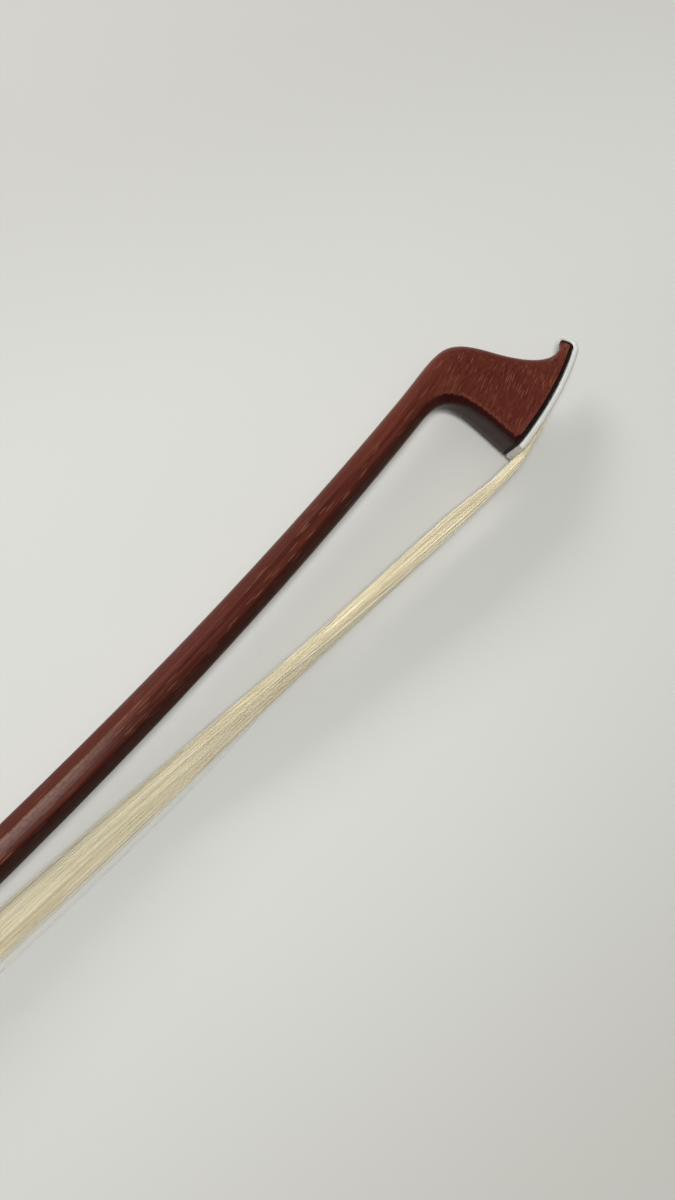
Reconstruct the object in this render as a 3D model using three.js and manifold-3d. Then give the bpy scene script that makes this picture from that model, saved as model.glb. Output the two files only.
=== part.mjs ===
// Cello bow, lying on its side with the hair slackened.
// X runs from the button to the tip, Y from the hair to the stick, Z up through the cheeks.
// Lengths are in millimetres. While it is built, x = 0 is the heel of the head.

import * as THREE from 'three';
import { mergeVertices } from 'three/addons/utils/BufferGeometryUtils.js';
import Module from 'manifold-3d';

const wasm = await Module();
wasm.setup();

// Driving dimensions of the whole bow
const hairLength = 596;          // free hair, from the heel of the head to the ferrule
const clearance = 0.3;           // gap between pieces that fit or rest on each other
const overrun = 3;               // how far a cutting tool runs past the face it cuts

// Stick
const stickButtWidth = 10.4;     // across the flats of the octagon at the frog
const stickHeadWidth = 7.2;      // across the flats just behind the head
const stickOverhang = 66;        // from the ferrule's front edge to the butt of the stick
const straightRun = 36;          // straight stick ahead of the ferrule
const slopeStep = 0.3;           // over which the camber's slope is measured
const lowPointDistance = 230;    // from the heel of the head to the lowest point of the camber
const stickAxisHeight = 24.4;    // above the hair at the frog
const lowPointHeight = 7.8;      // above the hair at the lowest point
const stickSlopeAtHead = 0.19;
const nippleWidth = 6.4;
const nippleLength = 2.4;

// Head
const headHeight = 29.6;
const headLength = 32;
const rootSetback = 13;          // where the stick's octagon starts to swell into the head
const throatLead = 9.8;
const crownLead = 8;
const heelWidth = 9.7;
const noseWidth = 3.2;
const throatChamfer = 1.6;
const chamferStart = 1.9;        // along the sole, where the throat chamfer has run out
const edgeBreak = 0.15;
const headAxisHeightShare = 0.868;
const plateTaperShare = 1.6;

// Tip plate and its liner
const linerThickness = 1;
const plateThickness = 1.5;
const plateTipShare = 0.72;

// Mortise, plug and hair knot in the head
const headMortiseStart = 11;
const headMortiseLength = 6.5;
const headMortiseWidth = 4.8;
const headMortiseDepth = 4.8;
const headPlugDepth = 3;
const headKnotWidth = 2.2;
const knotWaistShare = 0.8;

// Hair
const hairThickness = 0.8;
const hairValleyShare = 0.6;
const hairBundles = 9;
const hairWidthAtMortise = 4.2;
const hairWidthAtHeel = 8.6;
const hairWidthAtFrog = 11.4;
const hairRollRun = 165;         // over this length the slack ribbon topples on its side
const hairRoll = 1.4;            // radians
const hairStraight = 3;          // level hair at each end of the toppled stretch
const hairMouthShares = [0.6, 0.3, 0.02];   // places between the mortise and the heel
const hairSag = 3.4;             // away from the stick
const hairDrop = 2.6;            // towards the surface that the bow lies on

// Frog
const frogLength = 50;
const frogWidth = 14.5;
const thumbSetback = 11;         // from the ferrule's front edge to the frog's front end at the stick
const thumbHeight = 4.8;
const thumbRound = 1.5;
const throatDepth = 8.5;
const channelWall = 0.5;         // metal underslide
const frogMortiseStart = 22.5;
const frogMortiseLength = 8;
const frogMortiseWidth = 10;
const frogMortiseHeight = 8;
const frogPlugHeight = 3.6;
const frogKnotWidth = 2.6;
const backRound = 2.2;
const throatLowCurveShares = [0.55, 0.6];
const throatHighCurveShares = [0.7, 0.55];
const thumbCurveShare = 0.3;

// Ferrule and the wedge that spreads the hair
const ferruleLength = 13;
const ferruleHeight = 9.2;
const ferruleWall = 0.7;
const ferruleShoulderShare = 0.36;
const ferruleArchShares = [0.7, 0.6];
const wedgeLength = 7.2;
const wedgeThickness = 1.1;
const hairRise = 2.3;            // the hair climbs over the slide behind the wedge

// Pearl slide, heel plate and cheek eyes
const pearlThickness = 1;
const slideThickness = 1.5;
const slideWidth = 9.6;
const dovetailSpread = 1;
const heelPlateLength = 13;
const heelPlateHeight = 17.5;
const heelPlateThickness = 0.7;
const heelPlateMargin = 0.6;
const pinWidth = 1.5;
const pinLength = 3.6;
const pinHeadWidth = 2.2;
const pinHeadLength = 0.5;
const pinSetback = 5.4;          // from the eyelet to the pin ahead, and from the back to the other
const heelPinHeight = 11;
const heelPinInset = 7;
const eyeSetback = 31;
const eyeHeight = 10.8;
const eyeRingWidth = 8.2;
const eyeRingWall = 0.9;
const eyeDepth = 1;
const eyeInset = 0.1;            // the eyes lie this far below the cheek

// Screw, eyelet and button
const threadPitch = 0.7;
const threadDepth = 0.36;
const threadRunOut = 3;          // how far the thread runs on behind the eyelet's slot
const screwWidth = 3.2;
const screwTipWidth = 2.6;
const screwTipLength = 10;
const screwTravel = 7;
const eyeletSetback = 30;
const eyeletWidth = 5;
const eyeletShankWidth = 3.4;
const eyeletShankLength = 5.5;
const slotMargin = 0.6;
const buttonWidth = 10.6;
const buttonBackWidth = 9.6;
const buttonRingLength = 3.4;
const buttonCoreLength = 8;
const buttonTenonWidth = 8;
const buttonPearlThickness = 1;
const buttonPearlWidth = 6.2;
const ringBevel = 0.5;

// Grip
const leatherLength = 28;
const leatherThickness = 1.1;
const leatherSkive = 3;
const windingLength = 84;
const windingThickness = 0.4;
const gripGap = 0.5;

// Counts
const stickSteps = 44;
const headSubsteps = 2;
const hairSteps = 34;
const octagonSides = 8;
const screwSides = 10;
const pinSides = 10;
const shankSides = 12;
const roundSides = 16;
const discSides = 24;
const curveSteps = 12;
const windingSteps = 16;
const halvings = 20;

// Places that follow from the sizes
const heelRise = clearance + linerThickness;
const hairLevel = -(clearance + plateThickness + clearance + hairThickness / 2);
const ferruleX = -hairLength;
const buttX = ferruleX - stickOverhang;
const straightEndX = ferruleX + straightRun;
const frogAxisY = hairLevel + stickAxisHeight;
const lowPointY = hairLevel + lowPointHeight;
const headAxisY = headHeight * headAxisHeightShare;
const frogBottomY = hairLevel - hairThickness / 2 - clearance - ferruleWall;
const buttApothem = stickButtWidth / 2;
const flatShare = Math.tan(Math.PI / 8);   // half a flat of an octagon over its apothem
const cornerShare = 1 / Math.cos(Math.PI / 8);
const slideApothem = buttApothem + clearance;
const channelApothem = slideApothem + channelWall + clearance;
const frogTopY = frogAxisY - flatShare * channelApothem;
const slotY = frogBottomY + pearlThickness + slideThickness + 2 * clearance;
const frogMortiseTopY = slotY + frogMortiseHeight;
const frogKnotY = frogMortiseTopY - clearance - frogKnotWidth / 2;

const finishes = {
  pernambuco: { color: 0x5b2a22, roughness: 0.34, metalness: 0 },
  blackLiner: { color: 0x17110f, roughness: 0.4, metalness: 0 },
  whitePlate: { color: 0xd9dad4, roughness: 0.35, metalness: 0 },
  hair: { color: 0xcfc3a0, roughness: 0.45, metalness: 0 },
  plugWood: { color: 0xb98f5c, roughness: 0.7, metalness: 0 },
  thread: { color: 0xc9b68a, roughness: 0.8, metalness: 0 },
  ebony: { color: 0x1b1514, roughness: 0.35, metalness: 0 },
  silver: { color: 0xc6c4bf, roughness: 0.28, metalness: 1 },
  brass: { color: 0xb08d4a, roughness: 0.35, metalness: 1 },
  steel: { color: 0x8d8f92, roughness: 0.35, metalness: 1 },
  pearl: { color: 0xd8d6cc, roughness: 0.22, metalness: 0 },
  leather: { color: 0x2a1d18, roughness: 0.62, metalness: 0 },
};

const bow = new THREE.Group();
const headGroup = new THREE.Group();
const frogGroup = new THREE.Group();
const adjusterGroup = new THREE.Group();
frogGroup.position.set(ferruleX, 0, 0);
adjusterGroup.position.set(buttX, frogAxisY, 0);
bow.add(headGroup, frogGroup, adjusterGroup);

function addPiece(group, name, geometry, finish) {
  const mesh = new THREE.Mesh(geometry, new THREE.MeshStandardMaterial(finishes[finish]));
  mesh.name = name;
  group.add(mesh);
  return mesh;
}

// Boolean work on closed meshes
function bare(geometry) {
  const plain = geometry.clone();
  for (const attribute of Object.keys(plain.attributes)) {
    if (attribute !== 'position') plain.deleteAttribute(attribute);
  }
  return mergeVertices(plain);
}

function toSolid(geometry) {
  const plain = bare(geometry);
  return new wasm.Manifold(new wasm.Mesh({
    numProp: 3,
    vertProperties: new Float32Array(plain.attributes.position.array),
    triVerts: new Uint32Array(plain.index.array),
  }));
}

function toGeometry(solid) {
  const mesh = solid.getMesh();
  const geometry = new THREE.BufferGeometry();
  geometry.setAttribute('position', new THREE.Float32BufferAttribute(mesh.vertProperties, 3));
  geometry.setIndex(Array.from(mesh.triVerts));
  return geometry;
}

function cut(blank, tools) {
  let solid = toSolid(blank);
  for (const tool of tools) solid = solid.subtract(toSolid(tool));
  return toGeometry(solid);
}

function join(first, others) {
  let solid = toSolid(first);
  for (const other of others) solid = solid.add(toSolid(other));
  return toGeometry(solid);
}

// A block given by its lowest and highest corner
function block(low, high) {
  const size = new THREE.Vector3().subVectors(high, low);
  const centre = new THREE.Vector3().addVectors(low, high).multiplyScalar(0.5);
  return new THREE.BoxGeometry(size.x, size.y, size.z).translate(centre.x, centre.y, centre.z);
}

function corner(x, y, z) {
  return new THREE.Vector3(x, y, z);
}

// A turned piece about the X axis, from a closed profile of [along, radius] points
function turned(profile, sides, startAngle = 0) {
  const points = profile.map(([along, radius]) => new THREE.Vector2(radius, along));
  return new THREE.LatheGeometry(points, sides, startAngle).rotateZ(-Math.PI / 2);
}

function rod(startX, endX, radius, sides = roundSides) {
  return turned([[startX, 0], [startX, radius], [endX, radius], [endX, 0]], sides);
}

function sideways(geometry, x, y) {
  return geometry.rotateY(-Math.PI / 2).translate(x, y, 0);
}

function upright(geometry, x, z) {
  return geometry.rotateZ(Math.PI / 2).translate(x, 0, z);
}

// A profile in X and Y, extruded to a width that is centred on the bow's middle plane
function extrudeAcross(shape, width, curveSegments = curveSteps) {
  const geometry = new THREE.ExtrudeGeometry(shape, { depth: width, bevelEnabled: false, curveSegments });
  return geometry.translate(0, 0, -width / 2);
}

// A section in Z and Y, extruded along X from a start to a length towards the tip
function extrudeAlong(shape, startX, length, curveSegments = curveSteps) {
  const geometry = new THREE.ExtrudeGeometry(shape, { depth: length, bevelEnabled: false, curveSegments });
  return geometry.rotateY(Math.PI / 2).translate(startX, 0, 0);
}

function outline(points) {
  return new THREE.Shape(points.map(([x, y]) => new THREE.Vector2(x, y)));
}

// A closed skin over rings that have the same number of points
function loft(rings) {
  const count = rings[0].length;
  const positions = [];
  const index = [];
  const centroid = (ring) => ring.reduce((sum, p) => sum.add(p), corner(0, 0, 0)).divideScalar(count);
  for (const ring of rings) for (const point of ring) positions.push(point.x, point.y, point.z);
  for (let i = 0; i < rings.length - 1; i += 1) {
    for (let k = 0; k < count; k += 1) {
      const a = i * count + k;
      const b = i * count + ((k + 1) % count);
      index.push(a, b, a + count, b, b + count, a + count);
    }
  }
  const last = (rings.length - 1) * count;
  const startCentre = positions.length / 3;
  for (const ring of [rings[0], rings[rings.length - 1]]) {
    const centre = centroid(ring);
    positions.push(centre.x, centre.y, centre.z);
  }
  for (let k = 0; k < count; k += 1) {
    const next = (k + 1) % count;
    index.push(startCentre, next, k, startCentre + 1, last + k, last + next);
  }
  const geometry = new THREE.BufferGeometry();
  geometry.setAttribute('position', new THREE.Float32BufferAttribute(positions, 3));
  geometry.setIndex(index);
  return facingOut(geometry);
}

// A closed tube between rings outside and rings inside
function tubeLoft(outer, inner) {
  const section = outer.length;
  const loops = [...outer, ...inner.slice().reverse()];
  const count = loops[0].length;
  const positions = [];
  const index = [];
  for (const ring of loops) for (const point of ring) positions.push(point.x, point.y, point.z);
  for (let i = 0; i < 2 * section; i += 1) {
    const j = (i + 1) % (2 * section);
    for (let k = 0; k < count; k += 1) {
      const next = (k + 1) % count;
      index.push(i * count + k, i * count + next, j * count + k);
      index.push(i * count + next, j * count + next, j * count + k);
    }
  }
  const geometry = new THREE.BufferGeometry();
  geometry.setAttribute('position', new THREE.Float32BufferAttribute(positions, 3));
  geometry.setIndex(index);
  return facingOut(geometry);
}

function facingOut(geometry) {
  const place = geometry.attributes.position;
  const index = Array.from(geometry.index.array);
  const [a, b, c] = [corner(0, 0, 0), corner(0, 0, 0), corner(0, 0, 0)];
  let volume = 0;
  for (let i = 0; i < index.length; i += 3) {
    a.fromBufferAttribute(place, index[i]);
    b.fromBufferAttribute(place, index[i + 1]);
    c.fromBufferAttribute(place, index[i + 2]);
    volume += a.dot(b.cross(c));
  }
  if (volume < 0) {
    for (let i = 0; i < index.length; i += 3) [index[i], index[i + 1]] = [index[i + 1], index[i]];
    geometry.setIndex(index);
  }
  return geometry;
}

const mix = THREE.MathUtils.lerp;
const ease = (share) => THREE.MathUtils.smoothstep(share, 0, 1);

// Stick: a cambered octagon, straight where the frog slides and lowest past its middle
function camber(fromY, toY, endSlope, span, share) {
  const rise = fromY + (toY - fromY) * share * share * (3 - 2 * share);
  return rise + endSlope * span * share * share * (share - 1);
}

function stickHeightAt(x) {
  if (x <= straightEndX) return frogAxisY;
  const lowX = -lowPointDistance;
  if (x <= lowX) {
    const span = lowX - straightEndX;
    return camber(frogAxisY, lowPointY, 0, span, (x - straightEndX) / span);
  }
  const share = (x - lowX) / lowPointDistance;
  return camber(lowPointY, headAxisY, stickSlopeAtHead, lowPointDistance, share);
}

function stickFrameAt(x) {
  const slope = (stickHeightAt(x + slopeStep) - stickHeightAt(x - slopeStep)) / (2 * slopeStep);
  const along = new THREE.Vector2(1, slope).normalize();
  const across = new THREE.Vector2(-along.y, along.x);
  return { centre: new THREE.Vector2(x, stickHeightAt(x)), along, across };
}

function stickApothemAt(x) {
  const gone = THREE.MathUtils.clamp(x / straightEndX, 0, 1);
  return mix(stickButtWidth, stickHeadWidth, (1 - gone) * (1 - gone)) / 2;
}

// Eight corners of a section from its under side to its top side, near cheek first
function sectionRing(under, top, stations) {
  const up = new THREE.Vector2().subVectors(top, under).normalize();
  const near = stations.map(([rise, half]) => corner(under.x + up.x * rise, under.y + up.y * rise, half));
  const far = near.map((point) => corner(point.x, point.y, -point.z)).reverse();
  return [...near, ...far];
}

function octagonRing(x, apothem) {
  const { centre, across } = stickFrameAt(x);
  const under = centre.clone().addScaledVector(across, -apothem);
  const top = centre.clone().addScaledVector(across, apothem);
  const flat = flatShare * apothem;
  return sectionRing(under, top, [
    [0, flat], [apothem - flat, apothem], [apothem + flat, apothem], [2 * apothem, flat]]);
}

// Head: outlines in shares of the head's length and height
const headPoint = ([along, up]) => new THREE.Vector2(along * headLength, up * headHeight);
const heelShare = 0.006;
const heel = new THREE.Vector2(heelShare * headLength, heelRise);
const throatControlShares = [-0.05, 0.49];
const soleShares = [[0.453, 0.127], [0.884, 0.331]];
const tipShares = [[0.916, 0.346], [0.934, 0.368], [0.903, 0.392]];
const crownShares = [[-0.056, 1], [0.069, 1]];
const browShares = [[0.225, 1], [0.319, 0.875], [0.447, 0.689]];
const faceShares = [[0.55, 0.547], [0.694, 0.375], [0.8125, 0.375]];
const noseShares = [[0.844, 0.375], [0.869, 0.389], [0.891, 0.404]];
// Pairs of places along the throat and sole, and along the crown and face, that one section joins
const sectionPairShares = [
  [0, 0], [0.25, 0.5], [0.5, 1], [0.72, 1.35], [0.88, 1.62], [1, 1.8], [1.07, 1.86], [1.3, 2.1],
  [1.55, 2.45], [1.8, 2.8], [2, 3.1], [2.3, 3.4], [2.65, 3.75], [3, 4]];
// Cheek, bevel and flat along the crown and face, in shares of the stick's apothem
const ridgeShares = [
  [1, 1 - flatShare, flatShare], [0.95, 0.62, 0.3], [0.62, 0.45, 0.14], [0.44, 0.3, 0.12],
  [0.34, 0.04, 0.28]];

const rootX = -rootSetback;
const rootFrame = stickFrameAt(rootX);
const rootApothem = stickApothemAt(rootX);
const rootUnder = rootFrame.centre.clone().addScaledVector(rootFrame.across, -rootApothem);
const rootTop = rootFrame.centre.clone().addScaledVector(rootFrame.across, rootApothem);

const soleFront = headPoint(soleShares[1]);
const throatCurve = new THREE.CubicBezierCurve(
  rootUnder, rootUnder.clone().addScaledVector(rootFrame.along, throatLead),
  headPoint(throatControlShares), heel);
const soleCurve = new THREE.QuadraticBezierCurve(heel, headPoint(soleShares[0]), soleFront);
const tipCurve = new THREE.CubicBezierCurve(soleFront, ...tipShares.map(headPoint));
const crownCurve = new THREE.CubicBezierCurve(
  rootTop, rootTop.clone().addScaledVector(rootFrame.along, crownLead),
  ...crownShares.map(headPoint));
const browCurve = new THREE.CubicBezierCurve(headPoint(crownShares[1]), ...browShares.map(headPoint));
const faceCurve = new THREE.CubicBezierCurve(headPoint(browShares[2]), ...faceShares.map(headPoint));
const noseCurve = new THREE.CubicBezierCurve(headPoint(faceShares[2]), ...noseShares.map(headPoint));
const lowerCurves = [throatCurve, soleCurve, tipCurve];
const upperCurves = [crownCurve, browCurve, faceCurve, noseCurve];

function onCurves(curves, place) {
  const piece = Math.min(Math.floor(place), curves.length - 1);
  const curve = curves[piece];
  return { point: curve.getPoint(place - piece), tangent: curve.getTangent(place - piece) };
}

function soleHalfWidth(x) {
  const gone = THREE.MathUtils.clamp(x / headLength, 0, 1);
  return mix(heelWidth, noseWidth, gone ** plateTaperShare) / 2;
}

// Half width of the sole's edge, which the throat chamfer narrows at the heel
function soleEdgeHalf(x) {
  const run = THREE.MathUtils.clamp((x - heel.x) / chamferStart, 0, 1);
  return soleHalfWidth(x) - mix(throatChamfer / 2, edgeBreak, run);
}

function headRing(lower, upper) {
  const under = onCurves(lowerCurves, lower).point;
  const top = onCurves(upperCurves, upper).point;
  const depth = under.distanceTo(top);
  const swell = ease(Math.min(lower, 1));
  const flat = flatShare * rootApothem;
  const edge = lower < 1 ? mix(flat, soleEdgeHalf(heel.x), swell) : soleEdgeHalf(under.x);
  const cheek = lower < 1 ? mix(rootApothem, soleHalfWidth(heel.x), swell) : soleHalfWidth(under.x);
  const run = THREE.MathUtils.clamp((under.x - heel.x) / chamferStart, 0, 1);
  const throatEdge = mix(rootApothem - flat, throatChamfer, swell);
  const chamfer = lower < 1 ? throatEdge : mix(throatChamfer, edgeBreak, run);
  const piece = Math.min(Math.floor(upper), ridgeShares.length - 2);
  const [highCheek, bevel, ridge] = ridgeShares[piece].map(
    (share, i) => rootApothem * mix(share, ridgeShares[piece + 1][i], upper - piece));
  return sectionRing(under, top, [
    [0, edge], [chamfer, cheek], [depth - bevel, highCheek], [depth, ridge]]);
}

function headPairs() {
  const pairs = [];
  for (let i = 0; i < sectionPairShares.length - 1; i += 1) {
    const [lowA, highA] = sectionPairShares[i];
    const [lowB, highB] = sectionPairShares[i + 1];
    for (let k = 0; k < headSubsteps; k += 1) {
      const share = k / headSubsteps;
      pairs.push([mix(lowA, lowB, share), mix(highA, highB, share)]);
    }
  }
  pairs.push(sectionPairShares[sectionPairShares.length - 1]);
  return pairs;
}

// The point on the sole under a place along the head, moved out from the wood
function solePointAt(x, outward) {
  let [low, high] = [0, 1];
  for (let i = 0; i < halvings; i += 1) {
    const middle = (low + high) / 2;
    if (soleCurve.getPoint(middle).x < x) low = middle;
    else high = middle;
  }
  const tangent = soleCurve.getTangent(low);
  return soleCurve.getPoint(low).add(new THREE.Vector2(tangent.y, -tangent.x).multiplyScalar(outward));
}

const headMortiseEnd = headMortiseStart + headMortiseLength;
const headMortiseSoleY = solePointAt(headMortiseEnd, 0).y;
const headMortiseTopY = headMortiseSoleY + headMortiseDepth;
const stackDepth = clearance + linerThickness + clearance + plateThickness;

function headMortiseTool() {
  return block(
    corner(headMortiseStart, -stackDepth - overrun, -headMortiseWidth / 2),
    corner(headMortiseEnd, headMortiseTopY, headMortiseWidth / 2));
}

// Slot for the eyelet and bore for the screw, in the butt of the stick
const eyeletX = ferruleX - eyeletSetback;
const slotBackX = eyeletX - screwTravel - eyeletWidth / 2 - slotMargin;
const slotFrontX = eyeletX + eyeletWidth / 2 + slotMargin;
const slotTopY = frogAxisY + eyeletWidth / 2 + clearance + slotMargin;
const screwTipX = slotFrontX + screwTipLength;

function buildStick() {
  const rings = [octagonRing(buttX, buttApothem)];
  for (let i = 0; i < stickSteps; i += 1) {
    const x = mix(straightEndX, rootX, i / stickSteps);
    rings.push(octagonRing(x, stickApothemAt(x)));
  }
  for (const [lower, upper] of headPairs()) rings.push(headRing(lower, upper));
  const nipple = rod(buttX - nippleLength, buttX + overrun, nippleWidth / 2);
  const slot = block(
    corner(slotBackX, frogAxisY - buttApothem - overrun, -eyeletWidth / 2 - clearance),
    corner(slotFrontX, slotTopY, eyeletWidth / 2 + clearance));
  const bore = rod(buttX - nippleLength - overrun, slotFrontX - slotMargin, screwWidth / 2 + clearance);
  const tipBore = rod(slotBackX, screwTipX + clearance, screwTipWidth / 2 + clearance);
  for (const piece of [nipple, bore, tipBore]) piece.translate(0, frogAxisY, 0);
  return cut(join(loft(rings), [nipple]), [headMortiseTool(), slot, bore, tipBore]);
}

// A strip that follows the sole and the tip between two distances from the wood
function soleStrip(innerAt, outerAt) {
  const rings = [];
  for (const [lower] of headPairs()) {
    if (lower < 1) continue;
    const { point, tangent } = onCurves(lowerCurves, lower);
    const out = new THREE.Vector2(tangent.y, -tangent.x);
    const past = Math.max(lower - 2, 0);
    const reach = mix(outerAt, mix(innerAt, outerAt, plateTipShare), past);
    const inner = point.clone().addScaledVector(out, innerAt);
    const outer = point.clone().addScaledVector(out, reach);
    const half = soleEdgeHalf(point.x) + edgeBreak;
    rings.push([
      corner(inner.x, inner.y, half), corner(outer.x, outer.y, half),
      corner(outer.x, outer.y, -half), corner(inner.x, inner.y, -half)]);
  }
  return cut(loft(rings), [headMortiseTool()]);
}

function buildHeadPlug() {
  const level = solePointAt(headMortiseStart, clearance).y;
  return block(
    corner(headMortiseStart + clearance + hairThickness + clearance, level, clearance - headMortiseWidth / 2),
    corner(headMortiseEnd - clearance, headMortiseTopY - headPlugDepth, headMortiseWidth / 2 - clearance));
}

const headKnotRadius = headKnotWidth / 2;
const headKnotX = headMortiseStart + clearance + hairThickness + clearance + headKnotRadius;
const headKnotY = headMortiseTopY - clearance - headKnotRadius;

function knot(radius, length) {
  const waist = radius * knotWaistShare;
  const half = length / 2;
  return turned([
    [-half, 0], [-half, radius], [-half / 3, waist], [half / 3, waist], [half, radius], [half, 0]], pinSides);
}

// Hair: a thin ribbon of bundles, flat at both ends and toppled on its side between them
function hairWidthAt(x) {
  if (x > 0) return mix(hairWidthAtHeel, hairWidthAtMortise, Math.min(x / headMortiseStart, 1));
  if (x < ferruleX) {
    const inside = Math.min((ferruleX - x) / frogMortiseStart, 1);
    return mix(hairWidthAtFrog, frogMortiseWidth - 2 * clearance, inside);
  }
  return mix(hairWidthAtHeel, hairWidthAtFrog, ease(Math.min(x / ferruleX, 1)));
}

function toppledAt(x) {
  const fromHead = THREE.MathUtils.clamp(-x / hairRollRun, 0, 1);
  const fromFrog = THREE.MathUtils.clamp((x - ferruleX) / hairRollRun, 0, 1);
  return ease(fromHead) * ease(fromFrog);
}

function hairRoute() {
  const stack = stackDepth + clearance + hairThickness / 2;
  const mouthX = headMortiseStart + clearance + hairThickness / 2;
  const route = [new THREE.Vector2(mouthX, headMortiseTopY - headKnotWidth)];
  route.push(new THREE.Vector2(mouthX, solePointAt(mouthX, 0).y - stackDepth));
  route.push(solePointAt(mouthX - hairThickness, stack));
  for (const share of hairMouthShares) route.push(solePointAt(share * headMortiseStart, stack));
  for (let i = 0; i <= hairSteps; i += 1) {
    const x = mix(-hairStraight, ferruleX + hairStraight, i / hairSteps);
    route.push(new THREE.Vector2(x, hairLevel - hairSag * toppledAt(x)));
  }
  const riseX = ferruleX - wedgeLength - 3 * clearance;
  route.push(new THREE.Vector2(riseX, hairLevel));
  route.push(new THREE.Vector2(ferruleX - ferruleLength, hairLevel + hairRise));
  const climbX = ferruleX - frogMortiseStart - clearance - hairThickness / 2;
  route.push(new THREE.Vector2(ferruleX - frogMortiseStart, hairLevel + hairRise + clearance));
  route.push(new THREE.Vector2(climbX, hairLevel + hairRise + hairThickness + clearance));
  route.push(new THREE.Vector2(climbX, frogKnotY - frogKnotWidth / 2 - clearance));
  return route;
}

function buildHair() {
  const route = hairRoute();
  const rings = route.map((point, i) => {
    const before = route[Math.max(i - 1, 0)];
    const after = route[Math.min(i + 1, route.length - 1)];
    const along = new THREE.Vector2().subVectors(after, before).normalize();
    const toppled = toppledAt(point.x);
    const roll = hairRoll * toppled;
    const half = hairWidthAt(point.x) / 2;
    const side = [];
    for (let k = 0; k <= 2 * hairBundles; k += 1) {
      const high = k % 2 === 1 ? 1 : hairValleyShare;
      side.push([mix(half, -half, k / (2 * hairBundles)), high * hairThickness / 2]);
    }
    const section = [...side, ...side.slice().reverse().map(([width, high]) => [width, -high])];
    return section.map(([width, high]) => {
      const across = high * Math.cos(roll) + width * Math.sin(roll);
      const up = width * Math.cos(roll) - high * Math.sin(roll) - hairDrop * toppled;
      return corner(point.x - along.y * across, point.y + along.x * across, up);
    });
  });
  return loft(rings);
}

// Frog, placed from the ferrule's front edge: x is negative towards the button
const frogBackX = -frogLength;
const throatTopX = -thumbSetback - thumbRound;
const ferruleTopY = frogBottomY + ferruleHeight;
const ferruleHalf = frogWidth / 2 - clearance;
const slideFrontX = -ferruleLength - 2 * clearance;
const slideBackX = frogBackX + heelPlateLength + clearance;
const heelBackX = frogBackX + heelPlateThickness + clearance;
const heelBottomY = frogBottomY + heelPlateThickness + clearance;
const channelY = hairLevel + hairRise + hairThickness / 2 + clearance + hairThickness;

// The ferrule's section: flat below and arched above, drawn in by a given amount
function ferruleShape(inset) {
  const half = ferruleHalf - inset;
  const low = frogBottomY + inset;
  const shoulder = mix(frogBottomY, ferruleTopY, ferruleShoulderShare);
  const top = ferruleTopY - inset;
  const [rise, reach] = ferruleArchShares;
  const archY = mix(shoulder, top, rise);
  const shape = new THREE.Shape();
  shape.moveTo(-half, low);
  shape.lineTo(half, low);
  shape.lineTo(half, shoulder);
  shape.bezierCurveTo(half, archY, half * reach, top, 0, top);
  shape.bezierCurveTo(-half * reach, top, -half, archY, -half, shoulder);
  shape.closePath();
  return shape;
}

// The three facets of the frog's channel, as an octagon of a given apothem about the stick's axis
function octagonSection(apothem) {
  const flat = flatShare * apothem;
  return outline([
    [-apothem, -flat], [-flat, -apothem], [flat, -apothem], [apothem, -flat],
    [apothem, flat], [flat, apothem], [-flat, apothem], [-apothem, flat],
  ].map(([z, y]) => [z, y + frogAxisY]));
}

function frogProfile() {
  const shape = new THREE.Shape();
  const frontX = -ferruleLength - clearance;
  const thumbX = -thumbSetback;
  const throatFloorX = throatTopX - throatDepth;
  const throatLowY = ferruleTopY;
  const throatHighY = frogTopY - thumbHeight;
  const middleY = (throatLowY + throatHighY) / 2;
  const [lowRun, lowRise] = throatLowCurveShares;
  const [highRise, highRun] = throatHighCurveShares;
  shape.moveTo(frontX, frogBottomY);
  shape.lineTo(frontX, throatLowY);
  shape.bezierCurveTo(
    mix(frontX, throatFloorX, lowRun), throatLowY,
    throatFloorX, mix(middleY, throatLowY, lowRise), throatFloorX, middleY);
  shape.bezierCurveTo(
    throatFloorX, mix(middleY, throatHighY, highRise),
    mix(throatTopX, throatFloorX, highRun), throatHighY, throatTopX, throatHighY);
  shape.bezierCurveTo(
    thumbX, throatHighY, thumbX, mix(throatHighY, frogTopY, thumbCurveShare), thumbX, frogTopY);
  shape.lineTo(heelBackX, frogTopY);
  shape.lineTo(heelBackX, heelBottomY + backRound);
  shape.quadraticCurveTo(heelBackX, heelBottomY, heelBackX + backRound, heelBottomY);
  shape.lineTo(frogBackX + heelPlateLength, heelBottomY);
  shape.lineTo(frogBackX + heelPlateLength, frogBottomY);
  shape.closePath();
  return shape;
}

function dovetailSection(low, high, inset) {
  const lowHalf = slideWidth / 2 - inset;
  const highHalf = lowHalf + dovetailSpread;
  return outline([[-lowHalf, low], [lowHalf, low], [highHalf, high], [-highHalf, high]]);
}

// Recess for an eye in one cheek; side is 1 on the upper cheek and -1 on the lower
function eyeDisc(side, radius, outerZ, innerZ) {
  const [low, high] = [side * outerZ, side * innerZ].sort((a, b) => a - b);
  const disc = rod(low, high, radius, discSides);
  return sideways(disc, -eyeSetback, frogBottomY + eyeHeight);
}

const pinPlaces = { front: -eyeletSetback + pinSetback, back: frogBackX + pinSetback };
const heelPinY = frogBottomY + heelPinHeight;
const heelPinX = frogBackX + heelPinInset;

const pinBore = (low, high) => rod(low, high, pinWidth / 2 + clearance, pinSides);

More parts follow.
